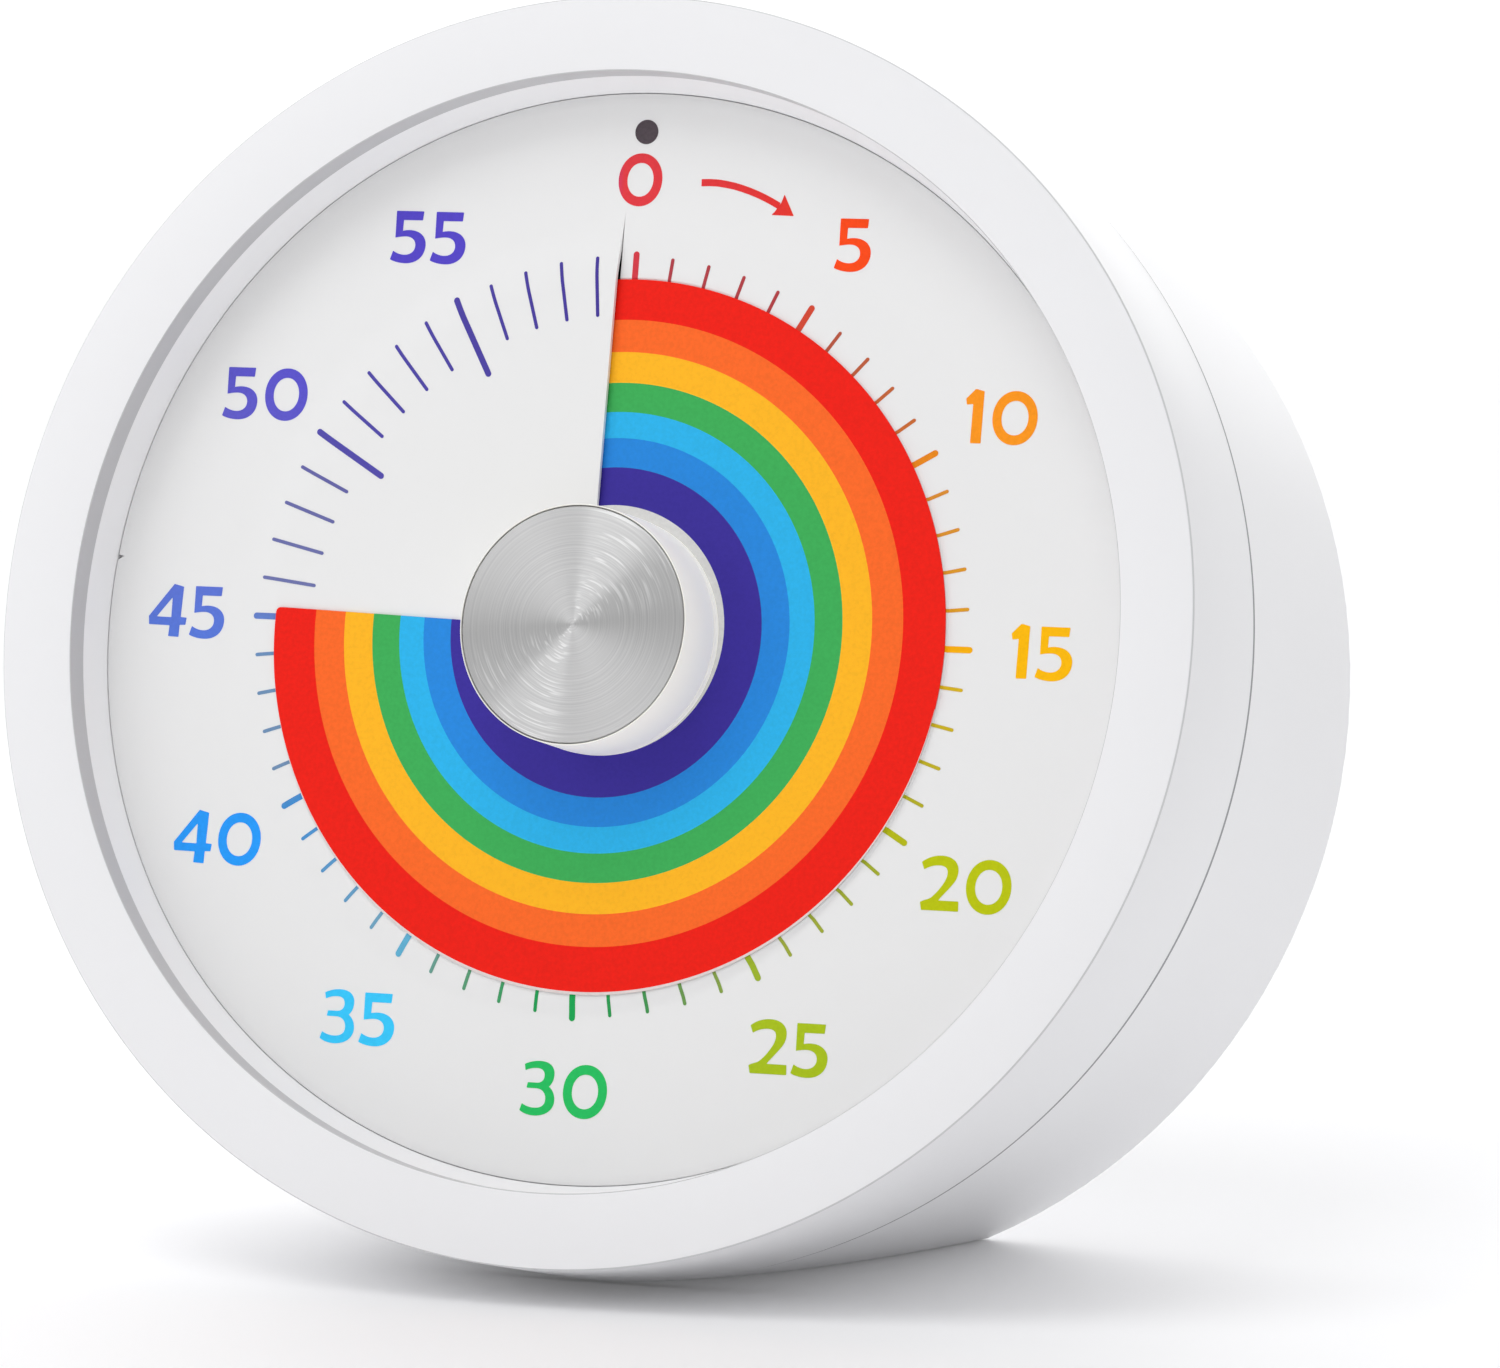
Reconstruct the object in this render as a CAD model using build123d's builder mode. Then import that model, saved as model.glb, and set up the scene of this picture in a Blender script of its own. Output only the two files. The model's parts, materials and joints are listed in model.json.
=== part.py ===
from build123d import *
import math
import os

os.makedirs("parts", exist_ok=True)

# ---------------------------------------------------------------------------
# Visual countdown timer: a round case that leans back on a flat cut in its
# rear shell, with a film disc that comes out through a slit in the dial.
#
# Millimetres. +Z is up, the dial looks towards -Y and a little upwards.
# Inside the clock everything is placed on the plane DIAL: its x is to the
# viewer's right, its y is up along the dial, and its z points out of the dial
# at the viewer, with z = 0 on the front face of the bezel.
# ---------------------------------------------------------------------------

# stand
LEAN = 12.0                  # degrees that the dial leans back
FOOT_CLEAR = 0.12            # bezel rim above the table
PAD_PROUD = 0.1              # anti-slip pad below the flat of the shell
PAD = (18.0, 14.0)
PAD_Y = 2.5
PAD_T = 0.6

# case
CASE_R = 40.0
CASE_DEPTH = 37.3
SEAM_Z = -11.85
SEAM_GAP = 0.2
SHELL_FRONT_R = 39.9
SHELL_BACK_R = 38.46
CAVITY_R = 36.3
SPIGOT_R = 37.8
SKIRT_R = 37.9
WALL = 2.0

# bezel recess
OPENING_R = 35.24
STRAIGHT_WALL = 1.93
BORE_R = 34.55
DIAL_Z = -3.61
DIAL_RING_T = 0.9
SHELF_R = 31.5
SHELF_T = 1.6

# dial and film disc, both parts of one shallow screw surface
PITCH = 0.6                  # rise of the film for one turn of the knob
SCREW_Z = -3.95              # film height where it passes the slit
FILM_T = 0.1
SHEET_T = 0.3
DIAL_R = 34.43
DIAL_HOLE_R = 8.0
SHEET_R = 26.6
DISC_R = 22.62
SLIT_X = -1.15
DISC_EDGE_X, DISC_EDGE_Y = -16.27, 0.755   # a point on the shown end edge
DISC_EDGE_TILT = -1.58
MINUTES_SET = 45
DISC_END = MINUTES_SET * 6   # degrees clockwise from the zero mark
DISC_TAIL = -102             # its hidden end, under the dial

# knob
KNOB_R = 7.54
KNOB_BASE_R = 7.62
KNOB_BOTTOM = -3.0
KNOB_TOP = 1.8
FACE_R = 7.38
FACE_T = 0.45
FACE_SEAT = 0.5              # depth of the seat, so the disc lies just below the rim
COLLAR_R = 7.58
COLLAR_TOP = -3.17

# going train: tooth counts and modules
M1, Z_MAIN, Z_P2 = 0.4, 60, 10
M2, Z_W2, Z_P3 = 0.3, 60, 10
M3, Z_W3, Z_ROTOR = 0.25, 50, 10
A2_DEG = 35.0
A3_DEG = 115.0
A4_DEG = 180.0

# cell: one AA, 14.2 x 50
CELL_R = 7.1
CELL_Y = -13.0
CELL_Z = -28.2

# case screws and their posts
POSTS = [(0.0, 33.0), (17.5, -28.0), (-17.5, -28.0)]

# sound switch
SW_X, SW_Y = 19.0, 13.0
# sounder
BZ_X, BZ_Y = -17.0, 13.0

# where the dial plane stands in the row frame
_s, _c = math.sin(math.radians(LEAN)), math.cos(math.radians(LEAN))
DIAL_OZ = (CASE_R + FOOT_CLEAR) * _c - SEAM_Z * _s
DIAL_OY = -18.0626

DIAL = Plane(origin=(0, DIAL_OY, DIAL_OZ), x_dir=(1, 0, 0), z_dir=(0, -_c, _s))
PROFILE = Plane(origin=DIAL.origin, x_dir=(1, 0, 0),
                z_dir=Vector(1, 0, 0).cross(DIAL.z_dir))
AXLE = Axis(DIAL.origin, DIAL.z_dir)


def at(z):
    """The plane parallel to the dial at height z."""
    return DIAL.offset(z)


def profile_at(x, y):
    """A plane through the axis-parallel line at x, y: its x is radial and its
    y runs along the axis."""
    o = DIAL.from_local_coords((x, y, 0))
    return Plane(origin=o, x_dir=(1, 0, 0), z_dir=PROFILE.z_dir)


def axle_at(x, y):
    return Axis(DIAL.from_local_coords((x, y, 0)), DIAL.z_dir)


def polar(r, deg):
    """Point at radius r, deg clockwise from the zero mark."""
    a = math.radians(90.0 - deg)
    return (r * math.cos(a), r * math.sin(a))


def gear_points(module, teeth, phase_deg, add=0.9, ded=1.2, share=0.43):
    """Outline of a clock wheel: radial flanks below the pitch circle, narrowed
    tips above it. phase_deg is the middle of one tooth."""
    pr = module * teeth / 2
    ra, rf = pr + add * module, pr - ded * module
    half = share * math.pi * module / pr / 2
    half_tip = half * 0.42
    pts = []
    for i in range(teeth):
        a = math.radians(phase_deg) + 2 * math.pi * i / teeth
        for r, d in ((rf, -half), (pr, -half), (ra, -half_tip),
                     (ra, half_tip), (pr, half), (rf, half)):
            pts.append((r * math.cos(a + d), r * math.sin(a + d)))
    return pts


def step(p, dist, deg):
    a = math.radians(deg)
    return (p[0] + dist * math.cos(a), p[1] + dist * math.sin(a))


# arbors of the train
A1 = (0.0, 0.0)
A2 = step(A1, M1 * (Z_MAIN + Z_P2) / 2, A2_DEG)
A3 = step(A2, M2 * (Z_W2 + Z_P3) / 2, A3_DEG)
A4 = step(A3, M3 * (Z_W3 + Z_ROTOR) / 2, A4_DEG)

# ---------------------------------------------------------------------------
# front bezel: ring, straight recess wall, cone down to the dial, shelf
# ---------------------------------------------------------------------------
shelf_z = DIAL_Z - DIAL_RING_T
with BuildPart() as front_bezel:
    with BuildSketch(PROFILE):
        with BuildLine():
            Polyline(
                (OPENING_R, 0), (CASE_R, 0), (CASE_R, SEAM_Z), (SKIRT_R, SEAM_Z),
                (SKIRT_R, shelf_z - SHELF_T), (SHELF_R, shelf_z - SHELF_T),
                (SHELF_R, shelf_z), (BORE_R, shelf_z), (BORE_R, DIAL_Z + 0.12),
                (OPENING_R, -STRAIGHT_WALL), (OPENING_R, 0))
        make_face()
    revolve(axis=AXLE)
    front_edges = front_bezel.edges().filter_by(GeomType.CIRCLE).filter_by(
        lambda e: abs(DIAL.to_local_coords(e.center()).Z) < 0.01)
    fillet(front_edges.filter_by(lambda e: abs(e.radius - CASE_R) < 0.01), 0.35)
    fillet(front_bezel.edges().filter_by(GeomType.CIRCLE).filter_by(
        lambda e: abs(e.radius - OPENING_R) < 0.01
        and abs(DIAL.to_local_coords(e.center()).Z) < 0.01), 0.22)
    # screw bosses
    with BuildSketch(at(shelf_z - SHELF_T + 0.3)):
        with Locations(*POSTS):
            Circle(2.8)
    extrude(amount=-(12.2 + shelf_z - SHELF_T + 0.3))
    with BuildSketch(at(-12.2)):
        with Locations(*POSTS):
            Circle(0.85)
    extrude(amount=5.2, mode=Mode.SUBTRACT)
    # pilot holes for the carrier screws
    with BuildSketch(at(shelf_z - SHELF_T)):
        with PolarLocations(33.0, 3, start_angle=30):
            Circle(0.6)
    extrude(amount=SHELF_T - 0.2, mode=Mode.SUBTRACT)
front_bezel.part.label = "front_bezel"
export_step(front_bezel.part, "parts/front_bezel.step")

# ---------------------------------------------------------------------------
# rear housing: drafted cup with the foot cut, cell tray, posts, openings
# ---------------------------------------------------------------------------
with BuildPart() as housing_cavity:
    with BuildSketch(at(-5.0)):
        Circle(CAVITY_R)
    extrude(amount=-(CASE_DEPTH - WALL - 5.0))
    with BuildSketch(Plane.XY.offset(WALL)):
        Rectangle(120, 120)
    extrude(amount=-20, mode=Mode.SUBTRACT)

TRAY = (59.0, 18.2)
POCKET = (56.6, 15.6)
DOOR_HOLE = (59.0, 18.0)
POCKET_FLOOR = -21.0
with BuildPart() as rear_housing:
    with BuildSketch(PROFILE):
        with BuildLine():
            Polyline(
                (0, SEAM_Z - SEAM_GAP), (0, -CASE_DEPTH), (SHELL_BACK_R, -CASE_DEPTH),
                (SHELL_FRONT_R, SEAM_Z - SEAM_GAP), (0, SEAM_Z - SEAM_GAP))
        make_face()
    revolve(axis=AXLE)
    with BuildSketch(at(SEAM_Z - SEAM_GAP)):
        Circle(SPIGOT_R)
    extrude(amount=2.8)
    fillet(rear_housing.edges().filter_by(GeomType.CIRCLE).filter_by(
        lambda e: abs(e.radius - SHELL_FRONT_R) < 0.01), 0.3)
    fillet(rear_housing.edges().filter_by(GeomType.CIRCLE).filter_by(
        lambda e: abs(e.radius - SHELL_BACK_R) < 0.01), 0.6)
    # the flat that the timer stands on, and a seat in it for the pad
    with BuildSketch(Plane.XY.offset(PAD_PROUD)):
        Rectangle(140, 140)
    extrude(amount=-20, mode=Mode.SUBTRACT)
    foot_face = rear_housing.faces().filter_by(Plane.XY).sort_by(Axis.Z)[0]
    fillet(foot_face.edges(), 0.35)
    with BuildSketch(Plane.XY.offset(PAD_PROUD)):
        with Locations((0, PAD_Y)):
            RectangleRounded(PAD[0] + 0.3, PAD[1] + 0.3, 3.15)
    extrude(amount=PAD_T - PAD_PROUD, mode=Mode.SUBTRACT)
    add(housing_cavity.part, mode=Mode.SUBTRACT)
    # screw posts
    with BuildSketch(at(-12.35)):
        with Locations(*POSTS):
            Circle(3.5)
    extrude(amount=-(CASE_DEPTH - 12.35 - WALL + 0.2))
    # tray for the cell
    with BuildSketch(at(POCKET_FLOOR + 1.2)):
        with Locations((0, CELL_Y)):
            Rectangle(*TRAY)
    extrude(amount=-(CASE_DEPTH - WALL + POCKET_FLOOR + 1.2 + 0.2))
    with BuildSketch(at(-CASE_DEPTH)):
        with Locations((0, CELL_Y)):
            Rectangle(*POCKET)
    extrude(amount=CASE_DEPTH + POCKET_FLOOR, mode=Mode.SUBTRACT)
    with BuildSketch(at(-CASE_DEPTH)):
        with Locations((0, CELL_Y)):
            RectangleRounded(*DOOR_HOLE, 2.0)
    extrude(amount=1.7, mode=Mode.SUBTRACT)
    # post holes from the back
    with BuildSketch(at(-CASE_DEPTH)):
        with Locations(*POSTS):
            Circle(2.6)
    extrude(amount=5.0, mode=Mode.SUBTRACT)
    with BuildSketch(at(-CASE_DEPTH)):
        with Locations(*POSTS):
            Circle(1.3)
    extrude(amount=CASE_DEPTH - 12.0, mode=Mode.SUBTRACT)
    # sounder seat and sound holes
    with BuildSketch(at(-CASE_DEPTH + WALL - 0.1)):
        with Locations((BZ_X, BZ_Y)):
            Circle(9.4)
            Circle(8.2, mode=Mode.SUBTRACT)
    extrude(amount=2.1)
    with BuildSketch(at(-CASE_DEPTH)):
        with Locations((BZ_X, BZ_Y)):
            Circle(0.8)
            with PolarLocations(3.0, 6):
                Circle(0.8)
            with PolarLocations(5.6, 12, start_angle=15):
                Circle(0.8)
    extrude(amount=WALL + 0.2, mode=Mode.SUBTRACT)
    # sound switch: finger recess and slot
    with BuildSketch(at(-CASE_DEPTH)):
        with Locations((SW_X, SW_Y)):
            SlotOverall(15.0, 8.0)
    extrude(amount=1.2, mode=Mode.SUBTRACT)
    with BuildSketch(at(-CASE_DEPTH)):
        with Locations((SW_X, SW_Y)):
            Rectangle(7.4, 3.4)
    extrude(amount=WALL + 0.2, mode=Mode.SUBTRACT)
rear_housing.part.label = "rear_housing"
export_step(rear_housing.part, "parts/rear_housing.step")

with BuildPart() as foot_pad:
    with BuildSketch(Plane.XY):
        with Locations((0, PAD_Y)):
            RectangleRounded(*PAD, 3.0)
    extrude(amount=PAD_T)
foot_pad.part.label = "foot_pad"
export_step(foot_pad.part, "parts/foot_pad.step")

# ---------------------------------------------------------------------------
# dial: a printed sheet whose inner field is one turn of a shallow screw, cut
# along the slit; outside it a flat ring sits on the bezel shelf
# ---------------------------------------------------------------------------


def screw_path(start_deg, end_deg, radius, z_mid):
    """Left-hand helix that climbs towards the viewer as it goes clockwise.
    z_mid is its height at 0 degrees."""
    turns = (end_deg - start_deg) / 360.0
    h = Edge.make_helix(PITCH, PITCH * turns, radius,
                        center=DIAL.from_local_coords((0, 0, z_mid + PITCH * start_deg / 360.0)),
                        normal=DIAL.z_dir, lefthand=True)
    p = DIAL.to_local_coords(h @ 0)
    here = math.degrees(math.atan2(p.X, p.Y))
    return h.rotate(AXLE, -(start_deg - here))


def ribbon_plane(path):
    """Section plane at the start of a helix: x radial, y along the axis."""
    p = path @ 0
    loc = DIAL.to_local_coords(p)
    radial = (DIAL.from_local_coords((loc.X, loc.Y, 0)) - DIAL.origin).normalized()
    return Plane(origin=p, x_dir=radial, z_dir=radial.cross(DIAL.z_dir))


dial_path = screw_path(-13, 373, 17.0, SCREW_Z - PITCH / 2)
with BuildPart() as dial_plate:
    with BuildSketch(ribbon_plane(dial_path)):
        with Locations(((DIAL_HOLE_R + SHEET_R + 0.7) / 2 - 17.0, 0)):
            Rectangle(SHEET_R + 0.7 - DIAL_HOLE_R, SHEET_T)
    sweep(path=dial_path, is_frenet=True)
    # the slit: the low edge ends on its right, the high edge on its left
    with BuildSketch(at(SCREW_Z - 0.6)):
        with Locations((SLIT_X - 5, 17.5)):
            Rectangle(10, 24)
    extrude(amount=0.6, mode=Mode.SUBTRACT)
    with BuildSketch(at(SCREW_Z)):
        with Locations((SLIT_X + 5, 17.5)):
            Rectangle(10, 24)
    extrude(amount=0.7, mode=Mode.SUBTRACT)
    with BuildSketch(at(DIAL_Z)):
        Circle(DIAL_R)
        Circle(SHEET_R, mode=Mode.SUBTRACT)
    extrude(amount=-DIAL_RING_T)
    # key that touches the bezel at nine o'clock, with a relief at each end
    with BuildSketch(at(DIAL_Z)):
        with BuildLine():
            k0, k1 = 264.9, 276.3
            l1 = Line(polar(DIAL_R - 0.5, k0), polar(BORE_R, k0))
            RadiusArc(polar(BORE_R, k0), polar(BORE_R, k1), -BORE_R)
            Line(polar(BORE_R, k1), polar(DIAL_R - 0.5, k1))
            RadiusArc(polar(DIAL_R - 0.5, k1), polar(DIAL_R - 0.5, k0), DIAL_R - 0.5)
        make_face()
    extrude(amount=-DIAL_RING_T)
    with BuildSketch(at(DIAL_Z)):
        with Locations(polar(DIAL_R - 0.05, k0 - 0.35), polar(DIAL_R - 0.05, k1 + 0.35)):
            Circle(0.24)
    extrude(amount=-DIAL_RING_T, mode=Mode.SUBTRACT)
dial_plate.part.label = "dial_plate"
export_step(dial_plate.part, "parts/dial_plate.step")

# ---------------------------------------------------------------------------
# film disc, and the collar that carries it up and down the spindle
# ---------------------------------------------------------------------------
film_path = screw_path(DISC_TAIL, DISC_END + 8, 15.0, SCREW_Z)
with BuildPart() as colour_disc:
    with BuildSketch(ribbon_plane(film_path)):
        with Locations(((COLLAR_R + DISC_R) / 2 - 15.0, 0)):
            Rectangle(DISC_R - COLLAR_R, FILM_T)
    sweep(path=film_path, is_frenet=True)
    with BuildSketch(at(SCREW_Z + 0.2)):
        with Locations(Location((DISC_EDGE_X, DISC_EDGE_Y, 0), (0, 0, DISC_EDGE_TILT))):
            Rectangle(20, 10, align=(Align.CENTER, Align.MIN))
    extrude(amount=1.0, mode=Mode.SUBTRACT)
colour_disc.part.label = "colour_disc"
export_step(colour_disc.part, "parts/colour_disc.step")

with BuildPart() as disc_collar:
    with BuildSketch(PROFILE):
        with BuildLine():
            Polyline((1.0, -5.45), (COLLAR_R, -5.45), (COLLAR_R, COLLAR_TOP),
                     (7.08, COLLAR_TOP), (7.08, -2.1), (6.3, -2.1), (6.3, -4.6),
                     (1.0, -4.6), (1.0, -5.45))
        make_face()
    revolve(axis=AXLE)
    # double-D bore that slides on the spindle
    with BuildSketch(at(-4.5)):
        Circle(3.05)
        Rectangle(8, 5.1, mode=Mode.INTERSECT)
    extrude(amount=-1.1, mode=Mode.SUBTRACT)
disc_collar.part.label = "disc_collar"
export_step(disc_collar.part, "parts/disc_collar.step")

# ---------------------------------------------------------------------------
# knob: drafted white cup with a spun aluminium disc let into its top
# ---------------------------------------------------------------------------
with BuildPart() as knob_body:
    with BuildSketch(PROFILE):
        with BuildLine():
            Polyline((2.0, -2.2), (3.3, -2.2), (3.3, 0.3), (7.15, 0.3), (7.15, KNOB_BOTTOM),
                     (KNOB_BASE_R, KNOB_BOTTOM), (KNOB_R + 0.02, KNOB_TOP - 0.05),
                     (KNOB_R - 0.03, KNOB_TOP), (FACE_R + 0.05, KNOB_TOP),
                     (FACE_R + 0.05, KNOB_TOP - FACE_SEAT), (0, KNOB_TOP - FACE_SEAT),
                     (0, 0.4), (2.0, 0.4), (2.0, -2.2))
        make_face()
    revolve(axis=AXLE)
knob_body.part.label = "knob_body"
export_step(knob_body.part, "parts/knob_body.step")

with BuildPart() as knob_face:
    with BuildSketch(at(KNOB_TOP - FACE_SEAT)):
        Circle(FACE_R)
    extrude(amount=FACE_T)
    chamfer(knob_face.faces().sort_by(AXLE)[-1].edges(), 0.06)
knob_face.part.label = "knob_face"
export_step(knob_face.part, "parts/knob_face.step")

# ---------------------------------------------------------------------------
# spindle, clutch spring, zero cam
# ---------------------------------------------------------------------------
with BuildPart() as spindle:
    with BuildSketch(PROFILE):
        with BuildLine():
            Polyline((0, 0.38), (1.98, 0.38), (1.98, -2.25), (3.0, -2.25), (3.0, -5.85),
                     (2.5, -5.85), (2.5, -8.2), (2.0, -8.2), (2.0, -11.8), (1.5, -11.8),
                     (1.5, -18.5), (0, -18.5), (0, 0.38))
        make_face()
    revolve(axis=AXLE)
    with BuildSketch(at(-2.25)):
        Circle(3.4)
        Rectangle(8, 5.0, mode=Mode.SUBTRACT)
    extrude(amount=-3.6, mode=Mode.SUBTRACT)
spindle.part.label = "spindle"
export_step(spindle.part, "parts/spindle.step")

with BuildPart() as clutch_spring:
    with BuildSketch(PROFILE):
        with BuildLine():
            Polyline((2.02, -10.4), (5.0, -9.65), (5.2, -9.65), (5.2, -9.85), (5.0, -9.85),
                     (2.02, -10.58), (2.02, -10.4))
        make_face()
    revolve(axis=AXLE)
clutch_spring.part.label = "clutch_spring"
export_step(clutch_spring.part, "parts/clutch_spring.step")

with BuildPart() as zero_cam:
    with BuildSketch(at(-10.6)):
        Circle(4.2)
        Circle(2.02, mode=Mode.SUBTRACT)
        with Locations(polar(4.3, 90)):
            Circle(0.9, mode=Mode.SUBTRACT)
    extrude(amount=-1.2)
zero_cam.part.label = "zero_cam"
export_step(zero_cam.part, "parts/zero_cam.step")

# ---------------------------------------------------------------------------
# going train
# ---------------------------------------------------------------------------
with BuildPart() as main_wheel:
    with BuildSketch(at(-8.4)):
        Polygon(*gear_points(M1, Z_MAIN, A2_DEG), align=None)
        Circle(2.05, mode=Mode.SUBTRACT)
        with PolarLocations(7.2, 5):
            Circle(2.0, mode=Mode.SUBTRACT)
    extrude(amount=-1.2)
main_wheel.part.label = "main_wheel"
export_step(main_wheel.part, "parts/main_wheel.step")

with BuildPart() as second_wheel:
    with BuildSketch(at(-8.2)):
        with Locations(A2):
            Polygon(*gear_points(M1, Z_P2, A2_DEG + 180 + 180 / Z_P2), align=None)
    extrude(amount=-2.4)
    with BuildSketch(at(-10.6)):
        with Locations(A2):
            Polygon(*gear_points(M2, Z_W2, A3_DEG), align=None)
    extrude(amount=-1.0)
    with BuildSketch(at(-8.0)):
        with Locations(A2):
            Circle(0.5)
    extrude(amount=-4.0, mode=Mode.SUBTRACT)
second_wheel.part.label = "second_wheel"
export_step(second_wheel.part, "parts/second_wheel.step")

with BuildPart() as second_arbor:
    with BuildSketch(at(-6.3)):
        with Locations(A2):
            Circle(0.5)
    extrude(amount=-12.0)
second_arbor.part.label = "second_arbor"
export_step(second_arbor.part, "parts/second_arbor.step")

with BuildPart() as third_wheel:
    with BuildSketch(at(-10.4)):
        with Locations(A3):
            Polygon(*gear_points(M2, Z_P3, A3_DEG + 180 + 180 / Z_P3), align=None)
    extrude(amount=-1.9)
    with BuildSketch(at(-12.3)):
        with Locations(A3):
            Polygon(*gear_points(M3, Z_W3, A4_DEG), align=None)
    extrude(amount=-1.0)
    with BuildSketch(at(-10.0)):
        with Locations(A3):
            Circle(0.5)
    extrude(amount=-4.0, mode=Mode.SUBTRACT)
third_wheel.part.label = "third_wheel"
export_step(third_wheel.part, "parts/third_wheel.step")

with BuildPart() as third_arbor:
    with BuildSketch(at(-6.3)):
        with Locations(A3):
            Circle(0.5)
    extrude(amount=-12.0)
third_arbor.part.label = "third_arbor"
export_step(third_arbor.part, "parts/third_arbor.step")

with BuildPart() as rotor_pinion:
    with BuildSketch(at(-12.1)):
        with Locations(A4):
            Polygon(*gear_points(M3, Z_ROTOR, A4_DEG + 180 + 180 / Z_ROTOR), align=None)
    extrude(amount=-1.5)
    with BuildSketch(at(-6.3)):
        with Locations(A4):
            Circle(0.5)
    extrude(amount=-12.0)
rotor_pinion.part.label = "rotor_pinion"
export_step(rotor_pinion.part, "parts/rotor_pinion.step")

with BuildPart() as rotor_magnet:
    with BuildSketch(at(-14.0)):
        with Locations(A4):
            Circle(2.3)
            Circle(0.5, mode=Mode.SUBTRACT)
    extrude(amount=-2.0)
rotor_magnet.part.label = "rotor_magnet"
export_step(rotor_magnet.part, "parts/rotor_magnet.step")

# ---------------------------------------------------------------------------
# movement frame
# ---------------------------------------------------------------------------
CARRIER_Z = shelf_z - SHELF_T
with BuildPart() as movement_carrier:
    with BuildSketch(at(CARRIER_Z)):
        Circle(36.0)
        with Locations(*POSTS):
            Circle(3.3, mode=Mode.SUBTRACT)
        Circle(2.55, mode=Mode.SUBTRACT)
        with Locations(A2, A3, A4):
            Circle(0.56, mode=Mode.SUBTRACT)
        with PolarLocations(33.0, 3, start_angle=30):
            Circle(0.9, mode=Mode.SUBTRACT)
        with Locations((-25.6, 5), (25.6, 5)):
            Circle(0.6, mode=Mode.SUBTRACT)
    extrude(amount=-1.2)
    # block that holds the zero contacts
    with BuildSketch(at(CARRIER_Z - 1.0)):
        with Locations((-15.4, -5.2)):
            Rectangle(3.0, 4.4)
    extrude(amount=-4.6)
    with BuildSketch(at(-10.6)):
        with Locations((-15.4, -4.7)):
            Rectangle(4.0, 0.22)
        with Locations((-15.4, -5.9)):
            Rectangle(4.0, 0.22)
    extrude(amount=-1.4, mode=Mode.SUBTRACT)
movement_carrier.part.label = "movement_carrier"
export_step(movement_carrier.part, "parts/movement_carrier.step")

COVER_Z = CARRIER_Z - 1.2
with BuildPart() as movement_cover:
    with BuildSketch(at(COVER_Z)):
        with Locations((0, 6.0)):
            RectangleRounded(46.0, 40.0, 3.0)
        with Locations((-25.6, 5), (25.6, 5)):
            Circle(2.6)
        with Locations((-23.5, 5), (23.5, 5)):
            Rectangle(4.2, 5.2)
    extrude(amount=-1.2)
    with BuildSketch(at(COVER_Z)):
        with Locations((0, 6.0)):
            RectangleRounded(46.0, 40.0, 3.0)
    extrude(amount=-(18.8 + COVER_Z))
    with BuildSketch(at(COVER_Z)):
        with Locations((0, 6.0)):
            RectangleRounded(43.6, 37.6, 1.8)
    extrude(amount=-(17.6 + COVER_Z), mode=Mode.SUBTRACT)
    with BuildSketch(at(-18.8)):
        with Locations((-11, 20), (11, 0)):
            Circle(1.8)
    extrude(amount=-2.0)
    with BuildSketch(at(-20.8)):
        with Locations((-11, 20), (11, 0)):
            Circle(0.6)
    extrude(amount=2.6, mode=Mode.SUBTRACT)
    with BuildSketch(at(-18.8)):
        Circle(1.55)
        with Locations(A2, A3, A4):
            Circle(0.56)
    extrude(amount=1.4, mode=Mode.SUBTRACT)
    with BuildSketch(at(COVER_Z)):
        with Locations((-25.6, 5), (25.6, 5)):
            Circle(0.9)
    extrude(amount=-1.3, mode=Mode.SUBTRACT)
movement_cover.part.label = "movement_cover"
export_step(movement_cover.part, "parts/movement_cover.step")

# ---------------------------------------------------------------------------
# stepping motor
# ---------------------------------------------------------------------------
with BuildPart() as stator:
    with BuildSketch(at(-14.5)):
        with Locations((-6.75, 12.75)):
            Rectangle(22.5, 17.5)
        with Locations((-6.75, 10.5)):
            Rectangle(16.5, 7.0, mode=Mode.SUBTRACT)
        with Locations(A4):
            Circle(2.75, mode=Mode.SUBTRACT)
    extrude(amount=-1.0)
stator.part.label = "stator"
export_step(stator.part, "parts/stator.step")

with BuildPart() as coil_bobbin:
    with BuildSketch(at(-12.9)):
        with Locations((-16.5, 10.5)):
            Rectangle(5.4, 6.6)
    extrude(amount=-4.2)
    with BuildSketch(at(-12.3)):
        with Locations((-16.5, 13.4), (-16.5, 7.6)):
            Rectangle(8.6, 0.7)
    extrude(amount=-5.2)
    with BuildSketch(at(-14.45)):
        with Locations((-16.5, 10.5)):
            Rectangle(3.1, 7.0)
    extrude(amount=-1.1, mode=Mode.SUBTRACT)
coil_bobbin.part.label = "coil_bobbin"
export_step(coil_bobbin.part, "parts/coil_bobbin.step")

with BuildPart() as coil_winding:
    with BuildSketch(at(-12.5)):
        with Locations((-16.5, 10.5)):
            Rectangle(8.0, 5.0)
    extrude(amount=-4.9)
    with BuildSketch(at(-12.9)):
        with Locations((-16.5, 10.5)):
            Rectangle(5.4, 5.2)
    extrude(amount=-4.2, mode=Mode.SUBTRACT)
coil_winding.part.label = "coil_winding"
export_step(coil_winding.part, "parts/coil_winding.step")

with BuildPart() as zero_contacts:
    with BuildSketch(at(-10.7)):
        with Locations((-7.9, -4.7)):
            Rectangle(18.0, 0.22)
        with Locations((-8.9, -5.9)):
            Rectangle(16.0, 0.22)
    extrude(amount=-1.0)
zero_contacts.part.label = "zero_contacts"
export_step(zero_contacts.part, "parts/zero_contacts.step")

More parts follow.
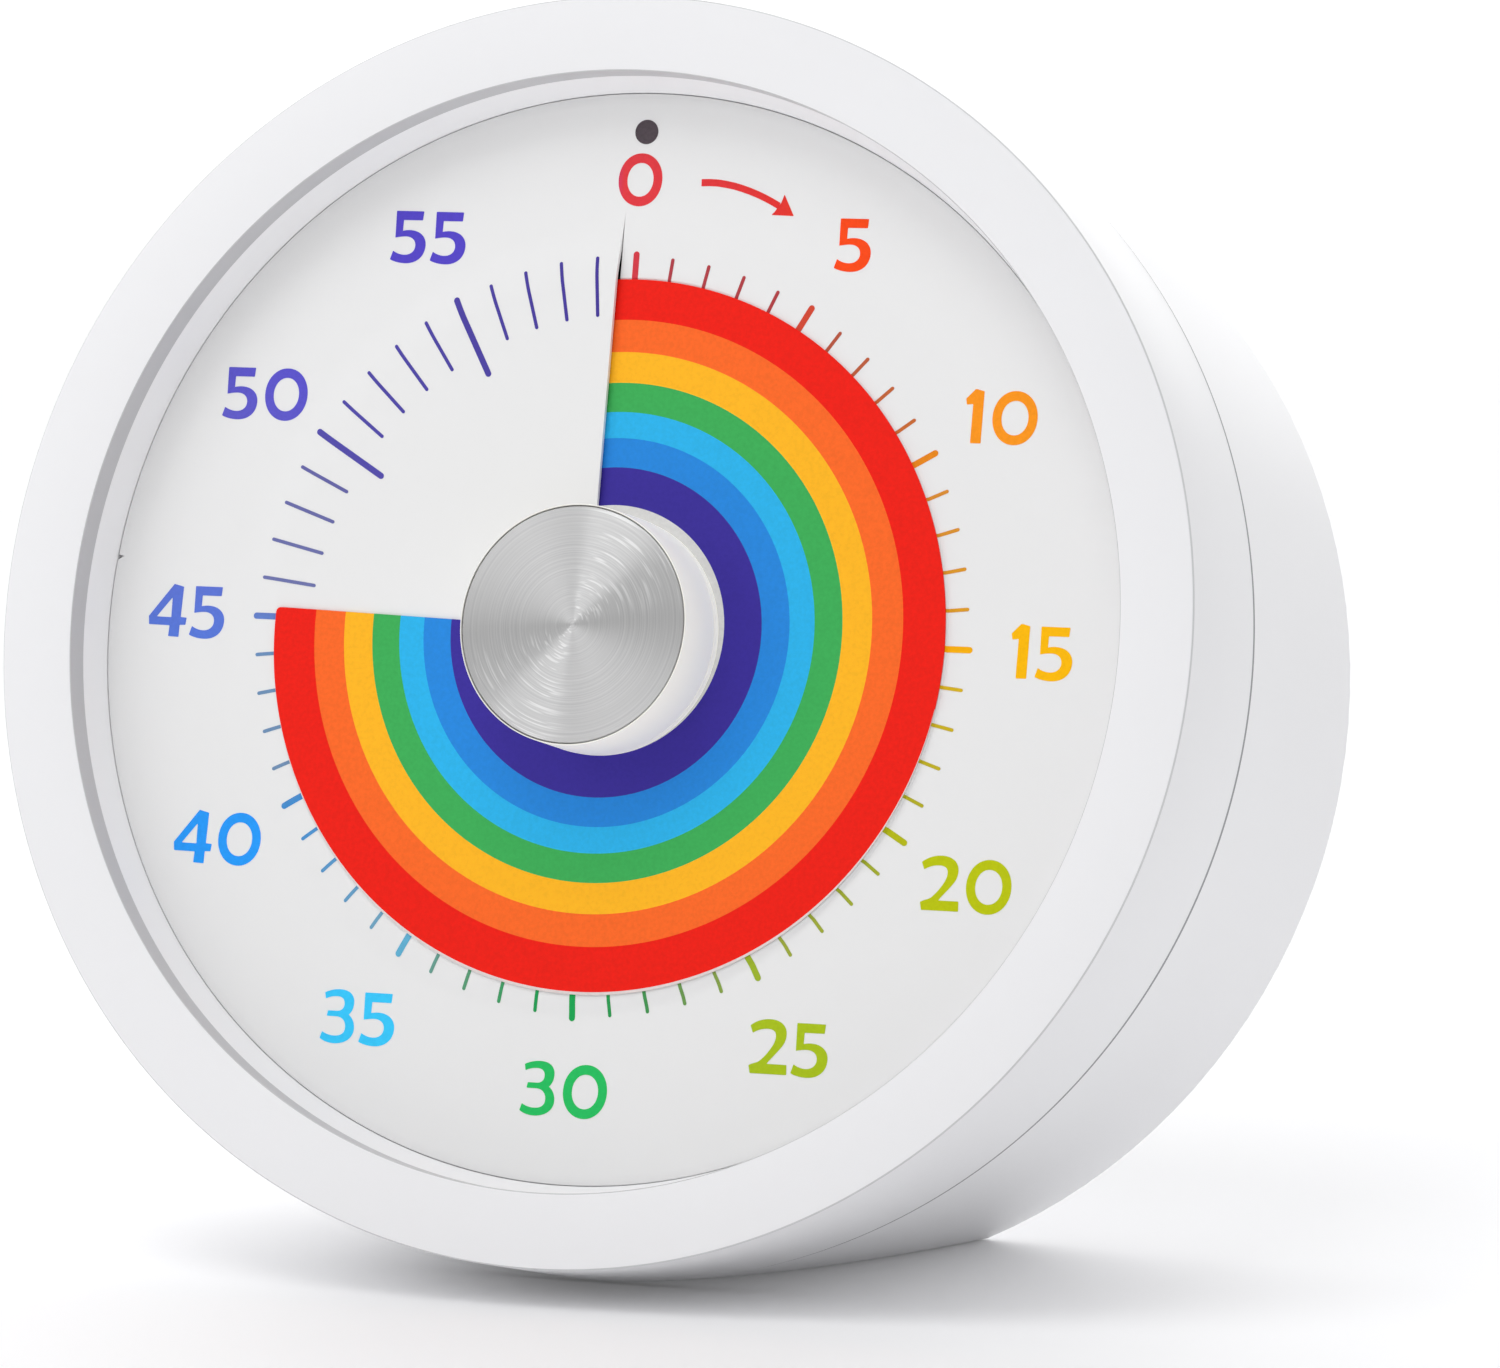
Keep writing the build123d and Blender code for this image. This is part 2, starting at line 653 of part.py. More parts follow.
# ---------------------------------------------------------------------------
# electronics
# ---------------------------------------------------------------------------
with BuildPart() as circuit_board:
    with BuildSketch(at(-20.8)):
        with Locations((0, 10)):
            RectangleRounded(30, 25, 1.0)
        with Locations((-11, 20), (11, 0)):
            Circle(0.9, mode=Mode.SUBTRACT)
    extrude(amount=-1.0)
circuit_board.part.label = "circuit_board"
export_step(circuit_board.part, "parts/circuit_board.step")

with BuildPart() as driver_chip:
    with BuildSketch(at(-21.8)):
        with Locations((3, 13)):
            Circle(3.2)
    extrude(amount=-1.2, taper=30)
driver_chip.part.label = "driver_chip"
export_step(driver_chip.part, "parts/driver_chip.step")

with BuildPart() as quartz_crystal:
    with BuildSketch(Plane(origin=DIAL.from_local_coords((-6.0, 6.0, -22.85)),
                           x_dir=DIAL.y_dir, z_dir=DIAL.x_dir)):
        Circle(1.0)
    extrude(amount=6.0)
quartz_crystal.part.label = "quartz_crystal"
export_step(quartz_crystal.part, "parts/quartz_crystal.step")

with BuildPart() as capacitor:
    with BuildSketch(at(-21.8)):
        with Locations((-9, 13)):
            Circle(2.0)
    extrude(amount=-5.0)
capacitor.part.label = "capacitor"
export_step(capacitor.part, "parts/capacitor.step")

with BuildPart() as sounder_plate:
    with BuildSketch(at(-CASE_DEPTH + WALL + 2.0)):
        with Locations((BZ_X, BZ_Y)):
            Circle(10.0)
    extrude(amount=0.3)
sounder_plate.part.label = "sounder_plate"
export_step(sounder_plate.part, "parts/sounder_plate.step")

with BuildPart() as sounder_ceramic:
    with BuildSketch(at(-CASE_DEPTH + WALL + 2.3)):
        with Locations((BZ_X, BZ_Y)):
            Circle(7.0)
    extrude(amount=0.25)
sounder_ceramic.part.label = "sounder_ceramic"
export_step(sounder_ceramic.part, "parts/sounder_ceramic.step")

# ---------------------------------------------------------------------------
# cell and its contacts
# ---------------------------------------------------------------------------
CELL_PLANE = Plane(origin=DIAL.from_local_coords((-24.3, CELL_Y, CELL_Z)),
                   x_dir=DIAL.y_dir, z_dir=DIAL.x_dir)
with BuildPart() as cell:
    with BuildSketch(CELL_PLANE):
        Circle(CELL_R)
    extrude(amount=48.6)
    fillet(cell.edges().filter_by(GeomType.CIRCLE), 0.6)
    with BuildSketch(CELL_PLANE.offset(48.6)):
        Circle(2.7)
    extrude(amount=1.4)
cell.part.label = "cell"
export_step(cell.part, "parts/cell.step")

with BuildPart() as cell_contact_plus:
    with BuildSketch(CELL_PLANE.offset(51.9)):
        Rectangle(13.0, 11.0)
    extrude(amount=0.4)
    with BuildSketch(CELL_PLANE.offset(51.9)):
        Circle(2.4)
    extrude(amount=-1.85, taper=20)
cell_contact_plus.part.label = "cell_contact_plus"
export_step(cell_contact_plus.part, "parts/cell_contact_plus.step")

spring_path = Edge.make_helix(1.0, 3.0, 2.6, center=CELL_PLANE.from_local_coords((0, 0, -3.3)),
                              normal=CELL_PLANE.z_dir)
with BuildPart() as cell_spring:
    with BuildSketch(Plane(origin=spring_path @ 0, z_dir=spring_path % 0)):
        Circle(0.28)
    sweep(path=spring_path, is_frenet=True)
cell_spring.part.label = "cell_spring"
export_step(cell_spring.part, "parts/cell_spring.step")

with BuildPart() as cell_contact_minus:
    with BuildSketch(CELL_PLANE.offset(-3.6)):
        Rectangle(13.0, 11.0)
    extrude(amount=-0.4)
cell_contact_minus.part.label = "cell_contact_minus"
export_step(cell_contact_minus.part, "parts/cell_contact_minus.step")

# ---------------------------------------------------------------------------
# battery door: flush panel with grip ribs, lifts straight off
# ---------------------------------------------------------------------------
with BuildPart() as battery_door:
    with BuildSketch(at(-CASE_DEPTH + 1.6)):
        with Locations((0, CELL_Y)):
            RectangleRounded(58.6, 17.6, 1.8)
    extrude(amount=-1.6)
    # finger scoop with three ribs left in it
    with BuildSketch(at(-CASE_DEPTH)):
        with Locations((0, CELL_Y + 5.4)):
            SlotOverall(16.0, 4.6)
            for i in (-1, 0, 1):
                with Locations((i * 3.6, 0)):
                    Rectangle(1.0, 5.0, mode=Mode.SUBTRACT)
    extrude(amount=0.7, mode=Mode.SUBTRACT)
battery_door.part.label = "battery_door"
export_step(battery_door.part, "parts/battery_door.step")

# ---------------------------------------------------------------------------
# sound switch
# ---------------------------------------------------------------------------
with BuildPart() as switch_body:
    with BuildSketch(at(-CASE_DEPTH + WALL)):
        with Locations((SW_X, SW_Y)):
            Rectangle(12.0, 7.0)
    extrude(amount=4.6)
    with BuildSketch(at(-CASE_DEPTH + WALL)):
        with Locations((SW_X, SW_Y)):
            Rectangle(8.6, 3.8)
    extrude(amount=2.6, mode=Mode.SUBTRACT)
switch_body.part.label = "switch_body"
export_step(switch_body.part, "parts/switch_body.step")

with BuildPart() as switch_slider:
    with BuildSketch(at(-CASE_DEPTH + 0.05)):
        with Locations((SW_X - 1.5, SW_Y)):
            RectangleRounded(6.6, 5.6, 0.6)
    extrude(amount=1.0)
    with BuildSketch(at(-CASE_DEPTH + 0.05)):
        with Locations(*[(SW_X - 1.5 + i * 1.3, SW_Y) for i in (-1.5, -0.5, 0.5, 1.5)]):
            Rectangle(0.5, 6.0)
    extrude(amount=0.35, mode=Mode.SUBTRACT)
    with BuildSketch(at(-CASE_DEPTH + 0.9)):
        with Locations((SW_X - 1.5, SW_Y)):
            Rectangle(3.6, 3.0)
    extrude(amount=3.3)
switch_slider.part.label = "switch_slider"
export_step(switch_slider.part, "parts/switch_slider.step")

# ---------------------------------------------------------------------------
# screws
# ---------------------------------------------------------------------------
with BuildPart() as case_screws:
    with BuildSketch(at(-33.3 + 1.0)):
        with Locations(*POSTS):
            Circle(2.2)
    extrude(amount=-1.4)
    with BuildSketch(at(-33.3 + 1.0)):
        with Locations(*POSTS):
            Circle(0.84)
    extrude(amount=24.3)
    with BuildSketch(at(-33.7)):
        with Locations(*POSTS):
            Rectangle(2.6, 0.55)
            Rectangle(0.55, 2.6)
    extrude(amount=0.8, mode=Mode.SUBTRACT)
case_screws.part.label = "case_screws"
export_step(case_screws.part, "parts/case_screws.step")

with BuildPart() as carrier_screws:
    with BuildSketch(at(CARRIER_Z - 1.2)):
        with PolarLocations(33.0, 3, start_angle=30):
            Circle(1.5)
    extrude(amount=-0.8)
    with BuildSketch(at(CARRIER_Z - 1.2)):
        with PolarLocations(33.0, 3, start_angle=30):
            Circle(0.58)
    extrude(amount=2.4)
carrier_screws.part.label = "carrier_screws"
export_step(carrier_screws.part, "parts/carrier_screws.step")

with BuildPart() as cover_screws:
    with BuildSketch(at(COVER_Z - 1.2)):
        with Locations((-25.6, 5), (25.6, 5)):
            Circle(1.5)
    extrude(amount=-0.8)
    with BuildSketch(at(COVER_Z - 1.2)):
        with Locations((-25.6, 5), (25.6, 5)):
            Circle(0.58)
    extrude(amount=2.2)
cover_screws.part.label = "cover_screws"
export_step(cover_screws.part, "parts/cover_screws.step")

with BuildPart() as board_screws:
    with BuildSketch(at(-21.8)):
        with Locations((-11, 20), (11, 0)):
            Circle(1.5)
    extrude(amount=-0.8)
    with BuildSketch(at(-21.8)):
        with Locations((-11, 20), (11, 0)):
            Circle(0.58)
    extrude(amount=3.4)
board_screws.part.label = "board_screws"
export_step(board_screws.part, "parts/board_screws.step")
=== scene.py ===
import json
import math

import bpy
import numpy as np
from mathutils import Matrix, Vector
from mathutils.geometry import tessellate_polygon


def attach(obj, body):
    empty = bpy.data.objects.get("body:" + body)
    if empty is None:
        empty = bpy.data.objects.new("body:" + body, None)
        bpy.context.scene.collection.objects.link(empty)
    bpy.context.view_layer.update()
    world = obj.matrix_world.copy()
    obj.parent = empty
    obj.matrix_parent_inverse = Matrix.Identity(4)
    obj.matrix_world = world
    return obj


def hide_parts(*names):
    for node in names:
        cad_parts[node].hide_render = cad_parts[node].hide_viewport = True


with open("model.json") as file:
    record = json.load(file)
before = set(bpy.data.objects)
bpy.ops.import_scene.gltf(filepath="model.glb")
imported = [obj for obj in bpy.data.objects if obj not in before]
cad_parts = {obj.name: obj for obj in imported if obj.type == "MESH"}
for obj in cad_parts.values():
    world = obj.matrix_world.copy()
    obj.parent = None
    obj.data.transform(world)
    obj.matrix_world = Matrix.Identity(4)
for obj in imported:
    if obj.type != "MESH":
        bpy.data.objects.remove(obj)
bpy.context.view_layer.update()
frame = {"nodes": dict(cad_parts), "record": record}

scene = bpy.context.scene
scene.view_settings.view_transform = "Standard"

# ---------------------------------------------------------------------------
# the dial frame: x to the right, y up along the dial, z out of the dial.
# Lengths in this file are in millimetres of that frame unless they say metres.
# ---------------------------------------------------------------------------
MM = 0.001
LEAN = math.radians(12.0)
SN, CS = math.sin(LEAN), math.cos(LEAN)
ORIGIN = Vector((0.0, -18.0626, (40.0 + 0.12) * CS + 11.85 * SN)) * MM
TO_ROW = Matrix(((1, 0, 0, ORIGIN.x), (0, SN, -CS, ORIGIN.y),
                 (0, CS, SN, ORIGIN.z), (0, 0, 0, 1)))

CASE_R, SEAM_Z = 40.0, -11.85
OPENING_R, BORE_R, DIAL_R = 35.24, 34.55, 34.50
DIAL_Z = -4.0
PITCH, SCREW_Z = 0.6, -3.95
SLIT_X, SLIT_TOP = -1.15, 27.1
WELL_R = 22.65            # the film lies in a shallow well of the dial
WELL_DROP = 0.09
DISC_R, COLLAR_R = 22.62, 7.58
DISC_EDGE_X, DISC_EDGE_Y, DISC_EDGE_SLOPE = -16.27, 0.755, -0.0276
PRINT_DY = 0.215            # the printed rings sit this much above the disc's axis
HUB_DY, HUB_R = 0.34, 7.93  # the unprinted middle of the disc


def smooth(a, b, x):
    t = min(1.0, max(0.0, (x - a) / (b - a)))
    return t * t * (3 - 2 * t)


def polar(r, deg):
    """x, y at radius r, deg clockwise from the zero mark."""
    a = math.radians(deg)
    return r * math.sin(a), r * math.cos(a)


# ---------------------------------------------------------------------------
# mesh helpers
# ---------------------------------------------------------------------------
def piece(name, verts, faces, body=None, material=None, sharp=32.0, matrix=TO_ROW):
    me = bpy.data.meshes.new(name)
    me.from_pydata([(x * MM, y * MM, z * MM) for x, y, z in verts], [], faces)
    me.validate()
    volume = 0.0
    for p in me.polygons:
        a = me.vertices[p.vertices[0]].co
        for i in range(1, len(p.vertices) - 1):
            b, c = me.vertices[p.vertices[i]].co, me.vertices[p.vertices[i + 1]].co
            volume += a.dot(b.cross(c))
    if volume < 0:  # every face looks outwards
        me.flip_normals()
    me.update()
    for p in me.polygons:
        p.use_smooth = True
    me.set_sharp_from_angle(angle=math.radians(sharp))
    ob = bpy.data.objects.new(name, me)
    scene.collection.objects.link(ob)
    ob.matrix_world = matrix
    if material:
        me.materials.append(material)
    if body:
        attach(ob, body)
    return ob


def rounded(points, steps=6):
    """Closed outline from (x, y) or (x, y, radius) corners."""
    out = []
    n = len(points)
    for i, p in enumerate(points):
        r = p[2] if len(p) > 2 else 0.0
        c = Vector(p[:2])
        if r <= 0:
            out.append((c.x, c.y))
            continue
        a, b = Vector(points[i - 1][:2]) - c, Vector(points[(i + 1) % n][:2]) - c
        la, lb = a.length, b.length
        a, b = a / la, b / lb
        half = math.acos(max(-1, min(1, a.dot(b)))) / 2
        t = min(r / math.tan(half), la * 0.49, lb * 0.49)
        r = t * math.tan(half)
        centre = c + (a + b).normalized() * (r / math.sin(half))
        p0, p1 = c + a * t - centre, c + b * t - centre
        turn = math.atan2(p0.x * p1.y - p0.y * p1.x, p0.dot(p1))
        for k in range(steps + 1):
            w = turn * k / steps
            out.append((centre.x + p0.x * math.cos(w) - p0.y * math.sin(w),
                        centre.y + p0.x * math.sin(w) + p0.y * math.cos(w)))
    return out


def lathe(outline, n=256):
    """Closed solid of revolution from an outline of (r, z), counter-clockwise."""
    verts, faces, rings = [], [], []
    for r, z in outline:
        if abs(r) < 1e-9:
            rings.append([len(verts)])
            verts.append((0, 0, z))
        else:
            rings.append(list(range(len(verts), len(verts) + n)))
            for k in range(n):
                a = 2 * math.pi * k / n
                verts.append((r * math.cos(a), r * math.sin(a), z))
    m = len(outline)
    for i in range(m):
        a, b = rings[i], rings[(i + 1) % m]
        if len(a) == 1 and len(b) == 1:
            continue
        for k in range(n):
            k2 = (k + 1) % n
            if len(a) == 1:
                faces.append((a[0], b[k2], b[k]))
            elif len(b) == 1:
                faces.append((a[k], a[k2], b[0]))
            else:
                faces.append((a[k], a[k2], b[k2], b[k]))
    return verts, faces


# ---------------------------------------------------------------------------
# node materials
# ---------------------------------------------------------------------------
def srgb(r, g, b):
    def lin(v):
        v = max(0.0, v) / 255.0
        return v / 12.92 if v <= 0.04045 else ((v + 0.055) / 1.055) ** 2.4
    return (lin(r), lin(g), lin(b), 1.0)


class Mat:
    def __init__(self, name, **sockets):
        self.m = bpy.data.materials.new(name)
        self.m.use_nodes = True
        self.t = self.m.node_tree
        self.p = self.t.nodes["Principled BSDF"]
        for k, v in sockets.items():
            self.p.inputs[k.replace("_", " ")].default_value = v

    def node(self, kind, **values):
        n = self.t.nodes.new(kind)
        for k, v in values.items():
            if k.startswith("i_"):
                n.inputs[k[2:].replace("_", " ")].default_value = v
            else:
                setattr(n, k, v)
        return n

    def link(self, a, out, b, inp):
        self.t.links.new(a.outputs[out], b.inputs[inp])

    def coords(self):
        return self.node("ShaderNodeTexCoord")

    def noise(self, scale, detail=3.0, rough=0.5, src=None, out="Object"):
        n = self.node("ShaderNodeTexNoise")
        n.inputs["Scale"].default_value = scale
        n.inputs["Detail"].default_value = detail
        n.inputs["Roughness"].default_value = rough
        self.link(src or self.coords(), out, n, "Vector")
        return n

    def ramp(self, stops, interpolation="LINEAR"):
        n = self.node("ShaderNodeValToRGB")
        cr = n.color_ramp
        cr.interpolation = interpolation
        while len(cr.elements) > 1:
            cr.elements.remove(cr.elements[-1])
        cr.elements[0].position, cr.elements[0].color = stops[0]
        for pos, col in stops[1:]:
            e = cr.elements.new(pos)
            e.color = col
        return n

    def spread(self, src, out, low, high, target, from_min=0.0, from_max=1.0):
        """Maps a value onto low..high and feeds it to a socket."""
        n = self.node("ShaderNodeMapRange")
        n.inputs["From Min"].default_value = from_min
        n.inputs["From Max"].default_value = from_max
        n.inputs["To Min"].default_value = low
        n.inputs["To Max"].default_value = high
        self.link(src, out, n, "Value")
        self.link(n, "Result", self.p, target)
        return n

    def bump(self, src, out, distance, strength=1.0):
        n = self.node("ShaderNodeBump")
        n.inputs["Distance"].default_value = distance
        n.inputs["Strength"].default_value = strength
        self.link(src, out, n, "Height")
        old = [l for l in self.t.links if l.to_node == self.p and l.to_socket.name == "Normal"]
        if old:
            self.link(old[0].from_node, old[0].from_socket.name, n, "Normal")
            self.t.links.remove(old[0])
        self.link(n, "Normal", self.p, "Normal")
        return n

    def flat_xy(self, dx=0.0, dy=0.0):
        """Position on the dial plane, metres from a point at dx, dy (mm)."""
        sep = self.node("ShaderNodeSeparateXYZ")
        self.link(self.coords(), "Object", sep, "Vector")
        flat = self.node("ShaderNodeCombineXYZ")
        self.link(sep, "X", flat, "X")
        self.link(sep, "Y", flat, "Y")
        if not dx and not dy:
            return flat
        shift = self.node("ShaderNodeVectorMath", operation="SUBTRACT")
        self.link(flat, "Vector", shift, 0)
        shift.inputs[1].default_value = (dx * MM, dy * MM, 0.0)
        return shift

    def radius(self, dx=0.0, dy=0.0):
        n = self.node("ShaderNodeVectorMath", operation="LENGTH")
        self.link(self.flat_xy(dx, dy), "Vector", n, 0)
        return n

    def math(self, operation, a, out, value=None, b=None, b_out="Value"):
        n = self.node("ShaderNodeMath", operation=operation)
        self.link(a, out, n, 0)
        if b is not None:
            self.link(b, b_out, n, 1)
        elif value is not None:
            n.inputs[1].default_value = value
        return n

    def speckle(self, colour_node, out, scale, low, high):
        """Slight drift of the ink's brightness, as screen printing has."""
        speck = self.noise(scale, 2.0, 0.6)
        lift = self.node("ShaderNodeMapRange")
        lift.inputs["From Min"].default_value = 0.3
        lift.inputs["From Max"].default_value = 0.7
        lift.inputs["To Min"].default_value = low
        lift.inputs["To Max"].default_value = high
        self.link(speck, "Fac", lift, "Value")
        tint = self.node("ShaderNodeHueSaturation")
        self.link(colour_node, out, tint, "Color")
        self.link(lift, "Result", tint, "Value")
        self.link(tint, "Color", self.p, "Base Color")
        return speck


def plastic(name, colour, rough=0.42, grain=2600.0, depth=0.0000022, vary=0.012,
            spec=0.5, coat=0.0, painted_glow=0.0):
    """Moulded plastic: fine spark-eroded grain, slow mould marks in the gloss,
    and a slight drift of the colour."""
    m = Mat(name, Base_Color=colour, Roughness=rough)
    m.p.inputs["Specular IOR Level"].default_value = spec
    if painted_glow:  # painted light: an emission on the side of the knob, outside r 7.53, that brightens its shaded side
        m.p.inputs["Emission Color"].default_value = (1.0, 0.99, 0.90, 1.0)
        outer = m.math("GREATER_THAN", m.radius(), "Value", 7.53 * MM)
        m.link(m.math("MULTIPLY", outer, "Value", painted_glow), "Value", m.p, "Emission Strength")
    if coat:
        m.p.inputs["Coat Weight"].default_value = coat
        m.p.inputs["Coat Roughness"].default_value = 0.18
    slow = m.noise(38.0, 2.0, 0.5)
    m.spread(slow, "Fac", rough - 0.045, rough + 0.045, "Roughness")
    fine = m.noise(grain, 2.0, 0.55)
    m.bump(fine, "Fac", depth)
    lo = tuple(max(0.0, c * (1 - vary)) for c in colour[:3]) + (1.0,)
    hi = tuple(min(1.0, c * (1 + vary)) for c in colour[:3]) + (1.0,)
    drift = m.noise(17.0, 3.0, 0.6)
    ramp = m.ramp([(0.3, lo), (0.7, hi)])
    m.link(drift, "Fac", ramp, "Fac")
    m.link(ramp, "Color", m.p, "Base Color")
    return m.m


def metal(name, colour, rough=0.3, stretch=None, depth=0.0000015):
    """Plated or drawn metal with fine drawing marks and stains in the gloss."""
    m = Mat(name, Base_Color=colour, Roughness=rough, Metallic=1.0)
    mapping = m.node("ShaderNodeMapping")
    mapping.inputs["Scale"].default_value = stretch or (1.0, 1.0, 1.0)
    m.link(m.coords(), "Object", mapping, "Vector")
    marks = m.noise(900.0, 3.0, 0.6, src=mapping, out="Vector")
    m.bump(marks, "Fac", depth)
    stains = m.noise(120.0, 3.0, 0.6)
    m.spread(stains, "Fac", max(0.05, rough - 0.08), rough + 0.1, "Roughness")
    return m.m


# painted shade: the battery door on the back is painted greyer, like the back of the shell
DOOR_WHITE = plastic("door_white", srgb(214, 214, 217), rough=0.38)
# the knob's side carries a painted glow
KNOB_WHITE = plastic("knob_white", srgb(228, 227, 221), rough=0.34, grain=3000.0,
                     painted_glow=0.31)
DIAL_WHITE = plastic("dial_white", srgb(235, 235, 235), rough=0.55, grain=5200.0,
                     depth=0.0000012, vary=0.006, spec=0.35)


def knob_face_material():
    """Spun aluminium. Fine even turning marks all over, broken arcs painted brighter
    as highlights in two opposite sectors, and a highlight that fans out across the marks."""
    m = Mat("spun_aluminium", Metallic=1.0, Roughness=0.4, Anisotropic=1.0,
            Anisotropic_Rotation=0.25)
    flat = m.flat_xy()
    length = m.radius()
    # even marks that depend only on the radius
    ring_v = m.node("ShaderNodeCombineXYZ")
    m.link(length, "Value", ring_v, "Z")
    even = m.noise(7500.0, 3.0, 0.7, src=ring_v, out="Vector")
    unit = m.node("ShaderNodeVectorMath", operation="NORMALIZE")
    m.link(flat, "Vector", unit, 0)

    def arcs(scale, along, detail, rough):
        """Marks that also change slowly along the turn and so break into arcs."""
        small = m.node("ShaderNodeVectorMath", operation="SCALE")
        small.inputs["Scale"].default_value = along / scale
        m.link(unit, "Vector", small, 0)
        both = m.node("ShaderNodeVectorMath", operation="ADD")
        m.link(small, "Vector", both, 0)
        m.link(ring_v, "Vector", both, 1)
        return m.noise(scale, detail, rough, src=both, out="Vector")

    broken = arcs(8200.0, 2.6, 0.0, 0.5)
    peaks = m.ramp([(0.0, (0, 0, 0, 1)), (0.60, (0, 0, 0, 1)), (0.74, (1, 1, 1, 1))])
    m.link(broken, "Fac", peaks, "Fac")
    # painted highlight: the arcs are painted brighter in the two opposite sectors where the highlight
    # falls
    side = m.node("ShaderNodeVectorMath", operation="DOT_PRODUCT")
    m.link(unit, "Vector", side, 0)
    side.inputs[1].default_value = (0.62, 0.785, 0.0)
    highlight_sectors = m.node("ShaderNodeMapRange")
    highlight_sectors.interpolation_type = "SMOOTHSTEP"
    highlight_sectors.inputs["From Min"].default_value = 0.70
    highlight_sectors.inputs["From Max"].default_value = 0.97
    highlight_sectors.inputs["To Min"].default_value = 0.05
    highlight_sectors.inputs["To Max"].default_value = 0.68
    m.link(m.math("ABSOLUTE", side, "Value"), "Value", highlight_sectors, "Value")
    amount = m.math("MULTIPLY", peaks, "Color", b=highlight_sectors, b_out="Result")
    m.bump(even, "Fac", 0.0000005)
    tone = m.ramp([(0.34, srgb(196, 196, 197)), (0.5, srgb(208, 208, 208)),
                   (0.66, srgb(222, 222, 222))])
    m.link(even, "Fac", tone, "Fac")
    lift = m.node("ShaderNodeMixRGB", blend_type="MIX")
    m.link(tone, "Color", lift, 1)
    lift.inputs[2].default_value = srgb(246, 246, 246)
    m.link(amount, "Value", lift, 0)
    m.link(lift, "Color", m.p, "Base Color")
    m.spread(even, "Fac", 0.37, 0.43, "Roughness", 0.3, 0.7)
    tangent = m.node("ShaderNodeTangent", direction_type="RADIAL", axis="Z")
    m.link(tangent, "Tangent", m.p, "Tangent")
    return m.m


RINGS = [  # outer radius of each printed ring, from the knob outwards
    (10.38, (60, 47, 154)), (12.22, (38, 136, 222)), (13.93, (44, 180, 236)),
    (15.76, (62, 174, 88)), (17.68, (255, 184, 34)), (19.82, (252, 106, 38)),
    (22.60, (240, 28, 14)), (23.50, (226, 214, 212))]


def disc_material():
    """Printed film: an unprinted hub, seven rings by radius, a clear outer
    margin, paper-like mottle in the ink."""
    m = Mat("disc_print", Roughness=0.42)
    m.p.inputs["Specular IOR Level"].default_value = 0.12
    scale = m.math("DIVIDE", m.radius(0.0, PRINT_DY), "Value", 0.025)
    stops, start = [], 0.0
    for r, rgb in RINGS:
        stops.append((start, srgb(*rgb)))
        start = r / 25.0
    ramp = m.ramp(stops, "CONSTANT")
    m.link(scale, "Value", ramp, "Fac")
    hub = m.math("LESS_THAN", m.radius(0.0, HUB_DY), "Value", HUB_R * MM)
    pick = m.node("ShaderNodeMixRGB", blend_type="MIX")
    m.link(hub, "Value", pick, 0)
    m.link(ramp, "Color", pick, 1)
    pick.inputs[2].default_value = srgb(219, 219, 218)
    m.speckle(pick, "Color", 3800.0, 0.95, 1.05)
    m.bump(m.noise(6000.0, 2.0, 0.5), "Fac", 0.0000012)
    m.spread(m.noise(90.0), "Fac", 0.38, 0.48, "Roughness")
    return m.m


FIGURE_HUES = [  # dial figures, degrees clockwise: colour
    (0, (226, 60, 68)), (19, (228, 52, 48)), (26, (252, 74, 22)), (36, (252, 76, 22)),
    (54, (252, 150, 28)), (66, (252, 152, 28)), (84, (255, 188, 0)), (98, (253, 188, 0)),
    (112, (190, 200, 8)), (128, (188, 198, 10)), (146, (172, 196, 26)), (156, (170, 194, 30)),
    (172, (40, 194, 98)), (188, (40, 194, 98)), (204, (58, 204, 255)), (216, (58, 202, 255)),
    (234, (38, 158, 255)), (246, (40, 154, 250)), (262, (84, 126, 224)), (276, (96, 116, 212)),
    (290, (100, 98, 200)), (304, (92, 84, 204)), (322, (86, 72, 200)), (340, (86, 70, 198)),
    (352, (84, 66, 190))]

TICK_HUES = [
    (0, (212, 60, 72)), (3, (176, 62, 72)), (25, (176, 62, 66)), (30, (216, 74, 50)),
    (34, (182, 84, 64)), (54, (200, 106, 50)), (60, (236, 138, 20)), (66, (216, 140, 46)),
    (85, (222, 156, 34)), (90, (250, 178, 0)), (96, (212, 178, 30)), (114, (180, 174, 34)),
    (120, (184, 188, 14)), (126, (162, 172, 46)), (144, (158, 170, 62)), (150, (160, 184, 42)),
    (158, (128, 158, 82)), (170, (54, 150, 84)), (180, (28, 168, 84)), (188, (36, 158, 86)),
    (204, (106, 156, 130)), (210, (96, 180, 216)), (216, (112, 164, 192)), (240, (60, 142, 212)), (246, (112, 144, 180)),
    (264, (108, 146, 184)), (270, (96, 130, 206)), (276, (112, 118, 172)),
    (294, (104, 104, 166)), (300, (84, 76, 170)), (355.6, (72, 58, 152))]


def print_material(name, hues):
    """Screen-printed ink whose hue runs round the dial."""
    m = Mat(name, Roughness=0.5)
    m.p.inputs["Specular IOR Level"].default_value = 0.1
    sep = m.node("ShaderNodeSeparateXYZ")
    m.link(m.coords(), "Object", sep, "Vector")
    turn = m.node("ShaderNodeCombineXYZ")
    for a, b in (("Y", "X"), ("X", "Y")):
        m.link(m.math("MULTIPLY", sep, a, -1.0), "Value", turn, b)
    grad = m.node("ShaderNodeTexGradient", gradient_type="RADIAL")
    m.link(turn, "Vector", grad, "Vector")
    stops = [(d / 360.0, srgb(*rgb)) for d, rgb in hues]
    ramp = m.ramp(stops + [(357.0 / 360.0, stops[0][1])])
    m.link(grad, "Fac", ramp, "Fac")
    speck = m.speckle(ramp, "Color", 4200.0, 0.96, 1.04)
    m.bump(speck, "Fac", 0.0000015)
    return m.m


